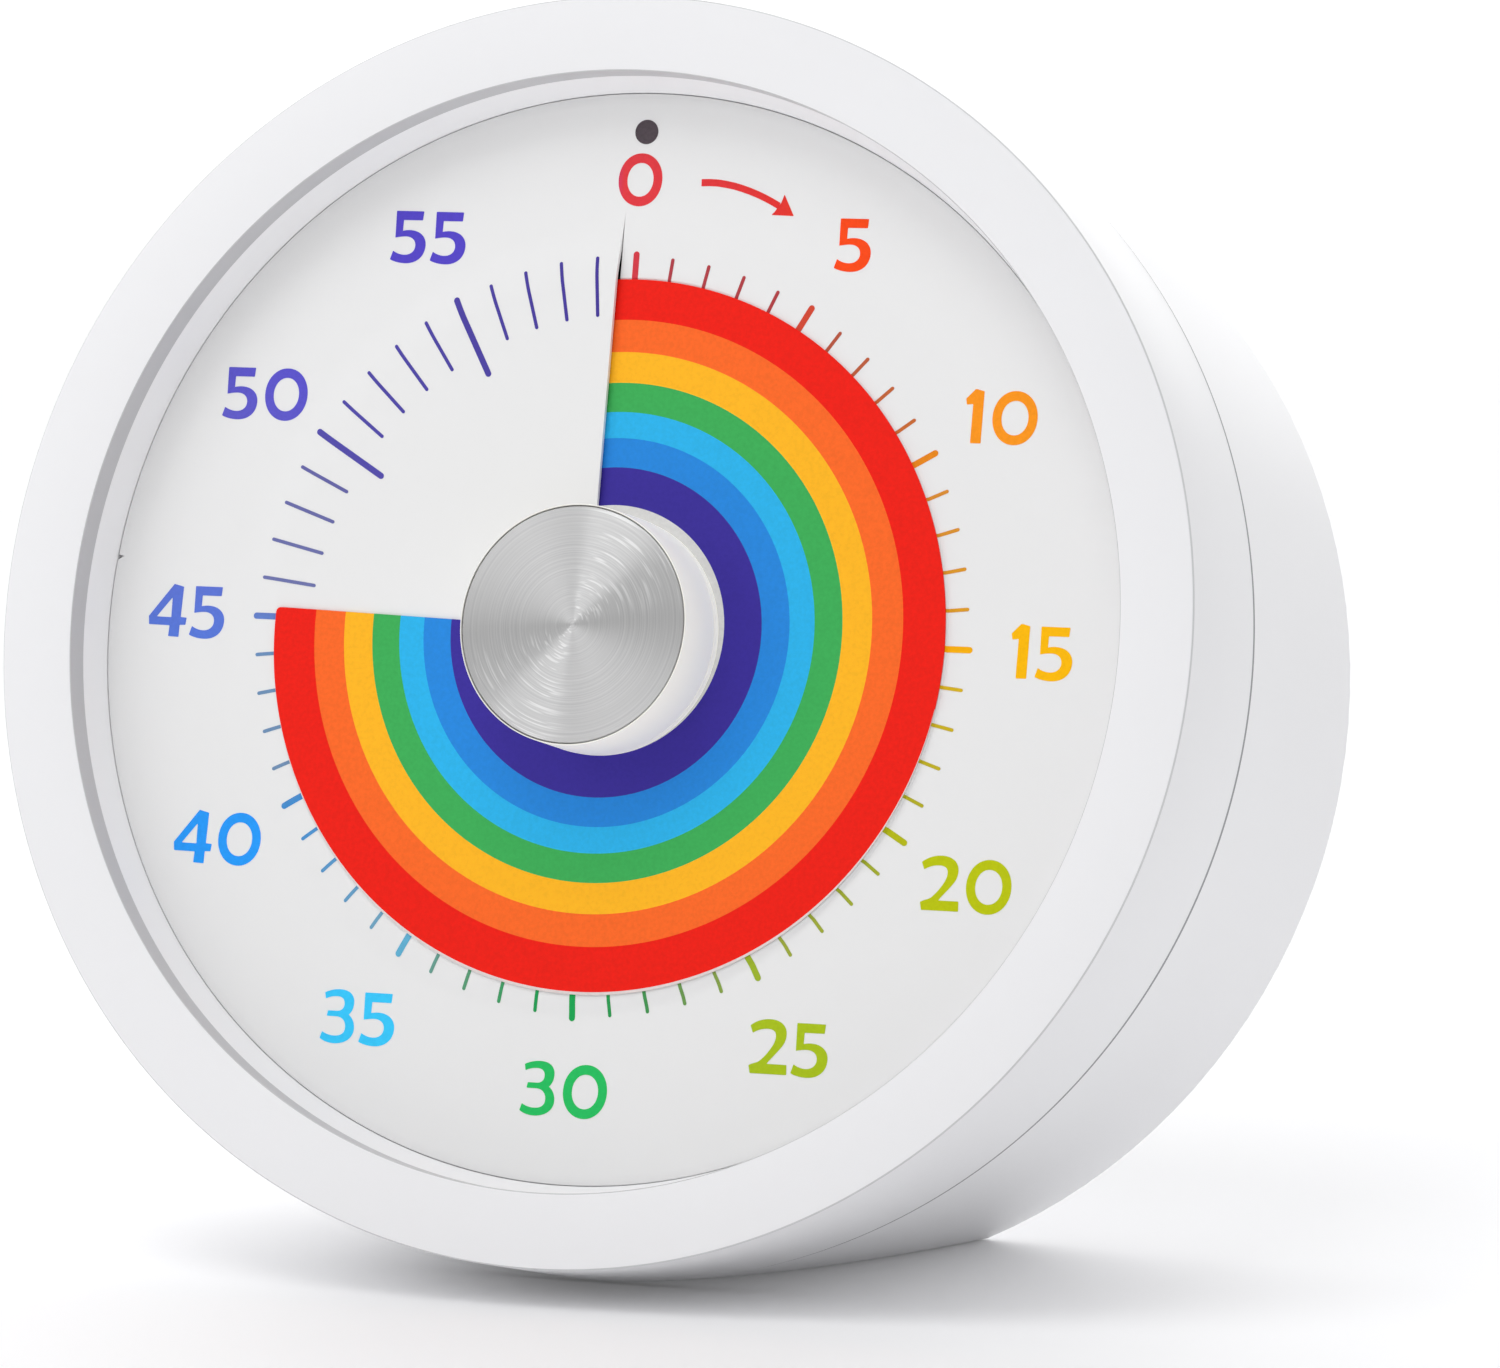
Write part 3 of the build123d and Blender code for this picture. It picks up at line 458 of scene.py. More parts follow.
def dot_material():
    m = Mat("dot_ink", Roughness=0.5)
    m.p.inputs["Specular IOR Level"].default_value = 0.3
    speck = m.noise(4200.0, 2.0, 0.6)
    ramp = m.ramp([(0.3, srgb(70, 60, 66)), (0.7, srgb(82, 70, 78))])
    m.link(speck, "Fac", ramp, "Fac")
    m.link(ramp, "Color", m.p, "Base Color")
    m.bump(speck, "Fac", 0.0000015)
    return m.m


INK = print_material("figure_ink", FIGURE_HUES)
TICK_INK = print_material("tick_ink", TICK_HUES)

# ---------------------------------------------------------------------------
# camera
# ---------------------------------------------------------------------------
CAM_X = Vector((0.92952244, 0.08172594, -0.35959546))
CAM_DOWN = Vector((0.04054594, -0.99187078, -0.12061666))
CAM_INTO = Vector((-0.36652974, 0.09753576, -0.92527981))
CAM_AT = -(CAM_X * -10.3916216 + CAM_DOWN * -3.4921287 + CAM_INTO * 552.9968795) * MM

cam_data = bpy.data.cameras.new("camera")
cam_data.sensor_fit = "HORIZONTAL"
cam_data.sensor_width = 36.0
cam_data.lens = 8881.48 / 1500.0 * 36.0
cam_data.clip_start, cam_data.clip_end = 0.05, 20.0
camera = bpy.data.objects.new("camera", cam_data)
scene.collection.objects.link(camera)
local = Matrix.Identity(4)
for i, axis in enumerate((CAM_X, -CAM_DOWN, -CAM_INTO)):
    for j in range(3):
        local[j][i] = axis[j]
for j in range(3):
    local[j][3] = CAM_AT[j]
camera.matrix_world = TO_ROW @ local
scene.camera = camera

# ---------------------------------------------------------------------------
# case
# ---------------------------------------------------------------------------


def paint(m, mask, colour):
    """Lays a colour over the base colour of material m where mask is 1."""
    old = next(l for l in m.t.links if l.to_node == m.p and l.to_socket.name == "Base Color")
    pick = m.node("ShaderNodeMixRGB", blend_type="MIX")
    m.link(mask, "Value", pick, 0)
    m.link(old.from_node, old.from_socket.name, pick, 1)
    pick.inputs[2].default_value = colour
    m.t.links.remove(old)
    m.link(pick, "Color", m.p, "Base Color")


def between(m, src, out, low, high):
    a = m.math("GREATER_THAN", src, out, low * MM)
    return m.math("MULTIPLY", m.math("LESS_THAN", src, out, high * MM), "Value", b=a)


def reopen(material):
    m = Mat.__new__(Mat)
    m.m, m.t = material, material.node_tree
    m.p = m.t.nodes["Principled BSDF"]
    return m


def bezel_material():
    """The case plastic, with painted shade and light: the straight inner wall painted grey as shade,
    a painted shade line on both rounded front edges, the cone below the wall painted lighter, and the
    outer side painted a shade darker than the face."""
    m = reopen(plastic("bezel_white", srgb(238, 238, 240), rough=0.36))
    sep = m.node("ShaderNodeSeparateXYZ")
    m.link(m.coords(), "Object", sep, "Vector")
    radius = m.radius()
    at_edge = between(m, sep, "Z", -0.13, 1.0)
    hole = between(m, radius, "Value", 35.0, OPENING_R + 0.07)
    # painted shade: the straight inner wall greyer than the case
    paint(m, m.math("MULTIPLY", hole, "Value", b=between(m, sep, "Z", -1.9, -0.07)),
          srgb(198, 198, 201))
    # painted shade: a thin grey line on the rounded edge of the opening
    paint(m, m.math("MULTIPLY", hole, "Value", b=between(m, sep, "Z", -0.07, 1.0)),
          srgb(200, 200, 202))
    # painted light: the cone below the straight wall a little lighter than the case
    cone = between(m, radius, "Value", 34.0, OPENING_R + 0.07)
    paint(m, m.math("MULTIPLY", cone, "Value", b=between(m, sep, "Z", -4.2, -1.9)),
          srgb(248, 248, 250))
    # painted shade: the outer side a little darker than the front face
    rim = between(m, radius, "Value", CASE_R - 0.085, CASE_R + 1.0)
    paint(m, m.math("MULTIPLY", rim, "Value", b=between(m, sep, "Z", -20.0, -0.13)),
          srgb(235, 235, 237))
    # painted shade: a thin grey line on the rounded outer front edge
    paint(m, m.math("MULTIPLY", rim, "Value", b=at_edge), srgb(206, 206, 208))
    return m.m


def shell_material():
    """The same plastic on the CAD nodes, whose coordinates are the row frame's.
    The rounded front edge of the rear shell is painted white as a highlight,
    and the back is painted a shade greyer as shade."""
    m = reopen(plastic("case_white", srgb(235, 235, 237), rough=0.36))
    depth = m.node("ShaderNodeVectorMath", operation="DOT_PRODUCT")
    m.link(m.coords(), "Object", depth, 0)
    depth.inputs[1].default_value = (0.0, -CS, SN)
    level = Vector((0.0, -CS, SN)).dot(ORIGIN) / MM + SEAM_Z
    # painted highlight: the rounded front edge of the rear shell painted white
    paint(m, between(m, depth, "Value", level - 0.40, level + 0.1), srgb(255, 255, 255))
    # painted shade: the back of the shell painted greyer
    paint(m, between(m, depth, "Value", level - 60.0, level - 25.2), srgb(218, 218, 221))
    return m.m


bezel_outline = rounded([
    (OPENING_R, 0, 0.09), (OPENING_R, -1.93, 0.05), (BORE_R, DIAL_Z + 0.02, 0.02),
    (BORE_R, -4.51), (31.5, -4.51), (31.5, -6.11), (37.9, -6.11, 0.1), (37.9, SEAM_Z + 0.06, 0.08),
    (CASE_R, SEAM_Z + 0.06, 0.07), (CASE_R, 0, 0.13)], 5)
bezel = piece("bezel_ring", *lathe(bezel_outline, 480), body="case", material=bezel_material())
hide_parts("front_bezel")

# a dark ring standing in for the shade of the parting gap, in the recess that the two rounded edges
# leave
seam_outline = [(39.4, SEAM_Z - 0.40), (39.93, SEAM_Z - 0.40), (39.93, SEAM_Z - 0.05),
                (39.4, SEAM_Z - 0.05)]
seam = piece("seam_shadow_line", *lathe(seam_outline, 480), body="case",
             material=plastic("seam_shadow", srgb(150, 150, 153), rough=0.6, spec=0.2))

# ---------------------------------------------------------------------------
# dial sheet
# ---------------------------------------------------------------------------
KEY_EDGE = [(264.55, DIAL_R), (265.05, BORE_R + 0.02), (275.98, BORE_R + 0.02),
            (276.02, 34.51), (276.52, 34.10), (276.58, DIAL_R - 0.03), (277.1, DIAL_R)]


def dial_height(r, deg):
    """Top of the dial at r, deg clockwise from zero (0..360): flat outside, a
    shallow screw under the film, which it follows up to the slit."""
    screw = SCREW_Z - WELL_DROP + PITCH * deg / 360.0
    width = 0.08 + 3.4 * smooth(110.0, 264.0, deg)
    return screw + (DIAL_Z - screw) * smooth(WELL_R, WELL_R + width, r)


def dial_rim(deg):
    """Outer radius of the dial: it touches the bezel over a key at nine
    o'clock, with a small relief at its clockwise end."""
    deg %= 360.0
    if deg <= KEY_EDGE[0][0] or deg >= KEY_EDGE[-1][0]:
        return DIAL_R
    for (d0, r0), (d1, r1) in zip(KEY_EDGE, KEY_EDGE[1:]):
        if d0 <= deg <= d1:
            return r0 + (r1 - r0) * (deg - d0) / (d1 - d0)
    return DIAL_R


WELL_RADII = [WELL_R, WELL_R + 0.02, WELL_R + 0.04, WELL_R + 0.06, WELL_R + 0.08, 22.78,
              22.84, 22.92] + list(np.linspace(23.0, SLIT_TOP, 18))


def dial_mesh():
    """A polar sheet that is open along the slit: 0.3 mm thick, 0.5 mm outside."""
    radii = ([8.0, 8.5, 10, 12, 14, 16, 18, 20, 21, 22] + WELL_RADII + [27.3, 28.2, 29.5, 31, 33, 33.8,
                                                      DIAL_R - 0.06, DIAL_R - 0.02, DIAL_R])
    lead_out = math.degrees(math.asin(SLIT_X / DIAL_R))
    degs = sorted(set([lead_out + 0.5 * k for k in range(721)] + [d for d, _ in KEY_EDGE]))
    share = [(d - lead_out) / 360.0 for d in degs]
    n = len(share) - 1
    verts, faces = [], []
    opened = sum(1 for r in radii if r <= SLIT_TOP - 1e-9)

    def sheet(z_of):
        rings = []
        for i, r in enumerate(radii):
            # inside, each ring starts and ends on the slit, which narrows
            # outwards; outside, the two ends share one vertex
            lead = math.degrees(math.asin(SLIT_X / r))
            gap = math.degrees(0.065 * smooth(0.0, 1.0, (SLIT_TOP - r) / 1.6) / r)
            ids = []
            for k in range(n + (1 if i < opened else 0)):
                deg = lead + (360.0 - gap) * share[k]
                x, y = polar(min(r, dial_rim(deg) - (DIAL_R - r)) if r > 33.9 else r, deg)
                ids.append(len(verts))
                verts.append((x, y, z_of(r, deg)))
            if i >= opened:
                ids.append(ids[0])
            rings.append(ids)
        return rings

    top = sheet(lambda r, d: dial_height(r, d) - 0.05 * max(0.0, (r - DIAL_R + 0.06) / 0.06) ** 2)
    bottom = sheet(lambda r, d: dial_height(r, d) - 0.3 - 0.2 * smooth(25.0, 26.6, r))
    for a, b in zip(top, top[1:]):
        for k in range(n):
            faces.append((a[k], b[k], b[k + 1], a[k + 1]))
    for a, b in zip(bottom, bottom[1:]):
        for k in range(n):
            faces.append((a[k], a[k + 1], b[k + 1], b[k]))
    for k in range(n):  # inner and outer edges
        faces.append((top[0][k], top[0][k + 1], bottom[0][k + 1], bottom[0][k]))
        faces.append((top[-1][k + 1], top[-1][k], bottom[-1][k], bottom[-1][k + 1]))
    for i in range(opened):  # the two lips of the slit
        faces.append((top[i][0], bottom[i][0], bottom[i + 1][0], top[i + 1][0]))
        faces.append((top[i][n], top[i + 1][n], bottom[i + 1][n], bottom[i][n]))
    return verts, faces


dial = piece("dial_sheet", *dial_mesh(), body="case", material=DIAL_WHITE, sharp=40)
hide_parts("dial_plate")

# ---------------------------------------------------------------------------
# film disc
# ---------------------------------------------------------------------------


def disc_mesh():
    start = -102.0
    radii = [COLLAR_R] + list(np.linspace(8.5, 22.2, 12)) + [22.4, 22.5, 22.58, 22.62]
    n = 744
    verts, faces = [], []

    def last_angle(r):
        """Where radius r meets the shown end, a straight cut with its outer
        corner rounded."""
        x = -r
        y = DISC_EDGE_Y + DISC_EDGE_SLOPE * (x - DISC_EDGE_X)
        if r > 22.3:
            y -= 0.32 - math.sqrt(max(0.0, 0.32 ** 2 - (r - 22.3) ** 2))
        return 270.0 + math.degrees(math.asin(y / r))

    def sheet(off):
        rings = []
        for r in radii:
            last = last_angle(r)
            ids = []
            for k in range(n + 1):
                deg = start + (last - start) * k / n
                x, y = polar(r, deg)
                ids.append(len(verts))
                verts.append((x, y, SCREW_Z + PITCH * deg / 360.0 + off))
            rings.append(ids)
        return rings

    top, bottom = sheet(0.05), sheet(-0.05)
    for a, b in zip(top, top[1:]):
        for k in range(n):
            faces.append((a[k], b[k], b[k + 1], a[k + 1]))
    for a, b in zip(bottom, bottom[1:]):
        for k in range(n):
            faces.append((a[k], a[k + 1], b[k + 1], b[k]))
    for k in range(n):
        faces.append((top[0][k], top[0][k + 1], bottom[0][k + 1], bottom[0][k]))
        faces.append((top[-1][k + 1], top[-1][k], bottom[-1][k], bottom[-1][k + 1]))
    for i in range(len(radii) - 1):
        faces.append((top[i][0], bottom[i][0], bottom[i + 1][0], top[i + 1][0]))
        faces.append((top[i][n], top[i + 1][n], bottom[i + 1][n], bottom[i][n]))
    return verts, faces


disc = piece("film_disc", *disc_mesh(), body="disc", material=disc_material(), sharp=50)
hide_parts("colour_disc")

# ---------------------------------------------------------------------------
# knob
# ---------------------------------------------------------------------------
knob_outline = rounded([
    (2.0, -2.2), (3.3, -2.2), (3.3, 0.3), (7.15, 0.3), (7.15, -3.0, 0.05), (7.62, -3.0, 0.06),
    (7.555, 1.8, 0.03), (7.48, 1.8, 0.015), (7.48, 1.3), (0, 1.3), (0, 0.4), (2.0, 0.4)], 5)
knob = piece("knob_cup", *lathe(knob_outline, 360), body="knob", material=KNOB_WHITE)
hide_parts("knob_body")

face_outline = rounded([(0, 1.31), (7.41, 1.31), (7.41, 1.77, 0.05), (0, 1.76)], 5)
face = piece("knob_disc", *lathe(face_outline, 360), body="knob",
             material=knob_face_material(), sharp=20)
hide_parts("knob_face")

# ---------------------------------------------------------------------------
# printed dial marks: ink a few hundredths proud of the sheet
# ---------------------------------------------------------------------------
INK_T = 0.02


def ink_solid(loops, z_of):
    """Thin solid over closed loops (outer first, then holes), lying on z_of(x, y)."""
    verts, faces = [], []
    flat = [p for loop in loops for p in loop]
    n = len(flat)
    for off in (INK_T, -0.03):
        for x, y in flat:
            verts.append((x, y, z_of(x, y) + off))
    tris = tessellate_polygon([[Vector((x, y, 0)) for x, y in loop] for loop in loops])
    for a, b, c in tris:
        pa, pb, pc = flat[a], flat[b], flat[c]
        area = (pb[0] - pa[0]) * (pc[1] - pa[1]) - (pb[1] - pa[1]) * (pc[0] - pa[0])
        if abs(area) < 1e-12:
            continue
        if area < 0:
            b, c = c, b
        faces.append((a, b, c))
        faces.append((a + n, c + n, b + n))
    base = 0
    for loop in loops:
        m = len(loop)
        turn = sum(loop[i][0] * loop[(i + 1) % m][1] - loop[(i + 1) % m][0] * loop[i][1]
                   for i in range(m))
        outer = loop is loops[0]
        ccw = (turn > 0) == outer
        for i in range(m):
            j = (i + 1) % m
            a, b = (base + i, base + j) if ccw else (base + j, base + i)
            faces.append((a, a + n, b + n, b))
        base += m
    return verts, faces


def stroke(points, width, cap="flat", w_end=None):
    """Outline of an even stroke along points, with mitred corners."""
    pts = [Vector(p) for p in points]
    n = len(pts)
    left, right = [], []
    for i, p in enumerate(pts):
        t = i / (n - 1)
        h = (width + ((w_end or width) - width) * t) / 2
        d0 = (p - pts[i - 1]).normalized() if i else None
        d1 = (pts[i + 1] - p).normalized() if i < n - 1 else None
        d0, d1 = d0 or d1, d1 or d0
        n0, n1 = Vector((-d0.y, d0.x)), Vector((-d1.y, d1.x))
        m = (n0 + n1).normalized()
        k = h / max(0.35, m.dot(n0))
        left.append(tuple(p + m * k))
        right.append(tuple(p - m * k))
    if cap.startswith("round"):
        def end(p, d, h):
            a = math.atan2(d.y, d.x)
            return [(p.x + h * math.cos(a + math.pi / 2 - math.pi * k / 8),
                     p.y + h * math.sin(a + math.pi / 2 - math.pi * k / 8))
                    for k in range(1, 8)]
        tail = head = []
        if cap != "round_start":
            tail = end(pts[-1], (pts[-1] - pts[-2]).normalized(), (w_end or width) / 2)
        if cap != "round_end":
            head = end(pts[0], (pts[0] - pts[1]).normalized(), width / 2)
        return left + tail + right[::-1] + head
    return left + right[::-1]


def ink_strip(r0, r1, deg, width, z_of):
    """A radial tick from r0 to r1 that follows the sheet closely. Its round
    ends are sections of falling width."""
    h = width / 2
    bow = [math.sin(math.pi / 2 * k / 5) for k in range(1, 6)]
    sections = [(r0 - h * t, h * math.sqrt(max(0.03, 1 - t * t))) for t in bow[::-1]]
    along = {round(float(r), 6) for r in np.linspace(r0, WELL_R, 14)[:-1]} | {round(r1, 6)}
    along |= {round(float(r), 6) for r in WELL_RADII if r0 < r < r1 - 0.01}
    sections += [(r, h) for r in sorted(along)]
    sections += [(r1 + h * t, h * math.sqrt(max(0.03, 1 - t * t))) for t in bow]
    verts, faces = [], []
    out, side = Vector(polar(1.0, deg)), Vector(polar(1.0, deg + 90.0))
    for r, w in sections:
        for k in (-1, 0, 1):
            p = out * r + side * (w * k)
            z = z_of(p.x, p.y)
            verts += [(p.x, p.y, z + INK_T), (p.x, p.y, z - 0.03)]
    for i in range(len(sections) - 1):
        a, b = 6 * i, 6 * i + 6
        for k in (0, 2):
            faces.append((a + k, a + k + 2, b + k + 2, b + k)[::-1])
            faces.append((a + k + 1, b + k + 1, b + k + 3, a + k + 3)[::-1])
        faces.append((a, b, b + 1, a + 1)[::-1])
        faces.append((a + 4, a + 5, b + 5, b + 4)[::-1])
    last = 6 * (len(sections) - 1)
    for e, flip in ((0, False), (last, True)):
        for k in (0, 2):
            f = (e + k, e + k + 1, e + k + 3, e + k + 2)
            faces.append(f if flip else f[::-1])
    return verts, faces


def ellipse(cx, cy, rx, ry, n=72, power=2.0):
    out = []
    for k in range(n):
        c, s = math.cos(2 * math.pi * k / n), math.sin(2 * math.pi * k / n)
        out.append((cx + rx * math.copysign(abs(c) ** (2 / power), c),
                    cy + ry * math.copysign(abs(s) ** (2 / power), s)))
    return out


def outline(start, *segments, soft=0.05, steps=12):
    """Closed outline. A segment is (x, y) for a line or (x1, y1, x2, y2, x, y)
    for a cubic curve; corners between lines are softened a little."""
    pts = [(start[0], start[1], True)]
    for seg in segments:
        if len(seg) == 2:
            pts.append((seg[0], seg[1], True))
        else:
            x0, y0 = pts[-1][:2]
            x1, y1, x2, y2, x3, y3 = seg
            for k in range(1, steps + 1):
                t = k / steps
                u = 1 - t
                pts.append((u ** 3 * x0 + 3 * u * u * t * x1 + 3 * u * t * t * x2 + t ** 3 * x3,
                            u ** 3 * y0 + 3 * u * u * t * y1 + 3 * u * t * t * y2 + t ** 3 * y3,
                            k == steps))
    if math.hypot(pts[0][0] - pts[-1][0], pts[0][1] - pts[-1][1]) < 1e-6:
        pts.pop()
    out, n = [], len(pts)
    for i, (x, y, knot) in enumerate(pts):
        a, b, c = Vector(pts[i - 1][:2]), Vector((x, y)), Vector(pts[(i + 1) % n][:2])
        bend = (b - a).angle(c - b)
        if knot and bend > math.radians(22):
            out.append((x, y, soft))
        else:
            out.append((x, y))
    return rounded(out, 4)


def figure(ch):
    """Loops of one figure, its left side at x = 0 and its middle at y = 0, mm."""
    if ch == "0":
        return [ellipse(1.48, 0.0, 1.48, 1.69, power=2.06),
                ellipse(1.48, 0.0, 0.885, 1.08, power=2.06)]
    if ch == "1":
        return [outline((0.0, 1.08), (0.58, 1.69), (0.70, 1.69), (1.17, 1.57), (1.165, -1.69),
                        (0.475, -1.69), (0.485, 0.76), (0.07, 0.71))]
    if ch == "2":
        return [outline(
            (0.0, 1.30), (0.40, 1.62, 0.85, 1.745, 1.30, 1.745),
            (2.00, 1.745, 2.435, 1.38, 2.435, 0.845), (2.435, 0.52, 2.33, 0.28, 2.19, 0.09),
            (1.95, -0.25, 1.50, -0.70, 1.25, -1.03), (2.58, -1.035), (2.62, -1.66),
            (0.19, -1.66), (0.07, -1.17), (0.45, -0.98, 0.60, -1.0, 0.755, -0.88),
            (1.02, -0.67, 1.30, -0.32, 1.49, -0.02), (1.65, 0.24, 1.74, 0.45, 1.74, 0.71),
            (1.74, 1.0, 1.52, 1.14, 1.17, 1.14), (0.85, 1.14, 0.5, 1.05, 0.19, 0.845))]
    if ch == "3":
        return [outline(
            (0.12, 1.50), (0.45, 1.66, 0.80, 1.74, 1.17, 1.74),
            (1.79, 1.74, 2.17, 1.43, 2.17, 0.94), (2.17, 0.60, 2.06, 0.33, 1.86, 0.17),
            (2.14, -0.02, 2.30, -0.34, 2.30, -0.70), (2.30, -1.29, 1.79, -1.69, 0.985, -1.69),
            (0.60, -1.69, 0.24, -1.57, 0.0, -1.40), (0.13, -0.965),
            (0.40, -1.13, 0.69, -1.20, 0.985, -1.20), (1.44, -1.20, 1.69, -1.0, 1.69, -0.66),
            (1.69, -0.25, 1.44, 0.02, 0.99, 0.02), (0.36, 0.02), (0.42, 0.37), (1.02, 0.37),
            (1.34, 0.37, 1.52, 0.55, 1.52, 0.82), (1.52, 1.11, 1.34, 1.29, 0.99, 1.29),
            (0.69, 1.29, 0.44, 1.23, 0.20, 1.11))]
    if ch == "4":
        return [outline((1.62, 1.70), (2.29, 1.54), (2.24, -0.42), (2.66, -0.44), (2.61, -0.91),
                        (2.21, -0.92), (2.20, -1.70), (1.47, -1.67), (1.51, -0.97),
                        (0.06, -0.95), (0.0, -0.42)),
                outline((0.55, -0.435), (1.56, 0.84), (1.58, -0.45), soft=0.03)]
    if ch == "5":
        return [outline(
            (0.21, 1.68), (2.10, 1.68), (2.06, 1.10), (0.74, 1.10), (0.73, 0.40),
            (0.97, 0.455, 1.12, 0.46, 1.27, 0.455), (1.94, 0.435, 2.385, 0.05, 2.385, -0.50),
            (2.385, -1.22, 1.87, -1.68, 1.09, -1.68), (0.67, -1.68, 0.27, -1.59, 0.0, -1.45),
            (0.17, -0.89), (0.42, -1.06, 0.72, -1.14, 0.97, -1.14),
            (1.40, -1.14, 1.68, -0.90, 1.68, -0.54), (1.68, -0.16, 1.37, 0.045, 0.97, 0.045),
            (0.72, 0.045, 0.47, 0.0, 0.25, -0.045))]
    raise ValueError(ch)


FIGURES = {  # minute: dial position, then each figure's left side and middle
    0: ((-0.14, 28.91), ("0", -1.52, 0.03)),
    5: ((14.55, 25.09), ("5", -1.22, 0.0)),
    10: ((25.24, 14.64), ("1", -2.42, -0.055), ("0", -0.60, -0.10)),
    15: ((29.15, 0.03), ("1", -2.12, 0.05), ("5", -0.42, -0.05)),
    20: ((25.40, -14.55), ("2", -3.05, 0.03), ("0", -0.04, -0.03)),
    25: ((14.60, -25.27), ("2", -2.67, 0.07), ("5", 0.21, 0.0)),
    30: ((-0.24, -28.67), ("3", -2.84, 0.03), ("0", 0.0, 0.0)),
    35: ((-14.58, -24.88), ("3", -2.54, -0.01), ("5", 0.13, -0.06)),
    40: ((-25.35, -13.98), ("4", -3.08, 0.03), ("0", 0.0, -0.02)),
    45: ((-28.92, 0.37), ("4", -2.67, 0.08), ("5", 0.25, 0.01)),
    50: ((-24.80, 14.57), ("5", -2.90, 0.0), ("0", 0.0, 0.01)),
    55: ((-14.41, 24.89), ("5", -2.52, 0.04), ("5", 0.24, 0.03))}


def flat_z(x, y):
    return DIAL_Z


def sheet_z(x, y):
    return dial_height(math.hypot(x, y), math.degrees(math.atan2(x, y)) % 360.0)


def near_zero_z(x, y):
    """As sheet_z, for marks that straddle the zero mark, right of the slit."""
    return dial_height(math.hypot(x, y), math.degrees(math.atan2(x, y)))


def placed(loops):
    """The figures' print sits this much off the middle of the bezel."""
    return [[(x - 0.155, y + 0.041) for x, y in loop] for loop in loops]


def join(solids):
    verts, faces = [], []
    for v, f in solids:
        base = len(verts)
        verts += v
        faces += [tuple(i + base for i in one) for one in f]
    return verts, faces


figures = []
for (cx, cy), *glyphs in FIGURES.values():
    for ch, left, up in glyphs:
        loops = [[(cx + left + px, cy + up + py) for px, py in loop] for loop in figure(ch)]
        figures.append(ink_solid(placed(loops), flat_z))

# the arrow
ARROW = [(3.98, 28.84), (4.55, 28.86), (5.10, 28.84), (5.64, 28.77), (6.20, 28.67),
         (6.75, 28.53), (7.30, 28.36), (7.83, 28.17), (8.36, 27.95), (8.85, 27.72), (9.32, 27.48)]
figures.append(ink_solid(placed([stroke(ARROW, 0.455, w_end=0.42)]), flat_z))
figures.append(ink_solid(placed([outline(
    (10.37, 26.85), (9.64, 28.20), (9.46, 27.66), (9.30, 27.45), (9.08, 27.10), (8.87, 26.89),
    soft=0.02)]), flat_z))
printed = piece("dial_figures", *join(figures), body="case", material=INK, sharp=30)

# ticks: the print is a little off the centre of the bezel
ticks = []
for k in range(60):
    th = math.radians(6.0 * k)
    drift = (0.189 - 0.402 * math.cos(th) - 0.510 * math.sin(th) - 0.146 * math.cos(2 * th)
             + 0.023 * math.sin(2 * th) - 0.044 * math.cos(3 * th) - 0.041 * math.sin(3 * th))
    deg = 6.0 * k + drift
    if k % 5 == 0:
        r0, r1, w = 18.60, 24.34 + 0.07 * math.cos(th) + 0.05 * math.sin(th), 0.40
    else:
        r0, r1, w = 20.22, 24.06 + 0.07 * math.cos(th) + 0.04 * math.sin(th), 0.225
    z_of = near_zero_z if k == 0 else sheet_z
    ticks.append(ink_strip(r0 + w / 2, r1 - w / 2, deg, w, z_of))
marks = piece("dial_ticks", *join(ticks), body="case", material=TICK_INK, sharp=30)

dot = piece("zero_dot", *ink_solid(placed([ellipse(-0.02, 32.0, 0.78, 0.78, 64)]), flat_z),
            body="case", material=dot_material(), sharp=30)

# ---------------------------------------------------------------------------
# carried-over CAD nodes get their materials
# ---------------------------------------------------------------------------
STEEL = metal("steel", srgb(176, 176, 180), 0.28, (1, 1, 6))
SCREW = metal("screw_steel", srgb(188, 188, 192), 0.32)
SPRING = metal("spring_steel", srgb(168, 168, 172), 0.25)
NICKEL = metal("nickel_strip", srgb(196, 192, 184), 0.3, (1, 5, 1))
BRASS = metal("contact_brass", srgb(206, 172, 98), 0.3, (5, 1, 1))
CAN = metal("crystal_can", srgb(200, 200, 202), 0.2)
COPPER = metal("copper_wire", srgb(176, 96, 52), 0.35, (1, 8, 1))
ACETAL = plastic("acetal", srgb(228, 226, 216), 0.45)
INNER = plastic("inner_plastic", srgb(62, 64, 68), 0.5)
BOBBIN = plastic("bobbin", srgb(208, 196, 160), 0.5)
FERRITE = plastic("ferrite", srgb(48, 48, 50), 0.6)
BOARD = plastic("board", srgb(30, 92, 52), 0.4, spec=0.6)
RESIN = plastic("black_resin", srgb(22, 22, 23), 0.25)
SLEEVE = plastic("capacitor_sleeve", srgb(32, 36, 84), 0.3)
CERAMIC = plastic("ceramic", srgb(222, 222, 218), 0.45)
CELL = plastic("cell_sleeve", srgb(56, 60, 68), 0.3, coat=0.3)
BLACK = plastic("black_plastic", srgb(26, 26, 27), 0.5)
GREY = plastic("switch_grey", srgb(122, 124, 130), 0.45, grain=1800.0, depth=0.000004)
RUBBER = plastic("pad_rubber", srgb(150, 151, 154), 0.75, grain=1500.0, depth=0.000006,
                 vary=0.05, spec=0.25)
CASE_WHITE = shell_material()
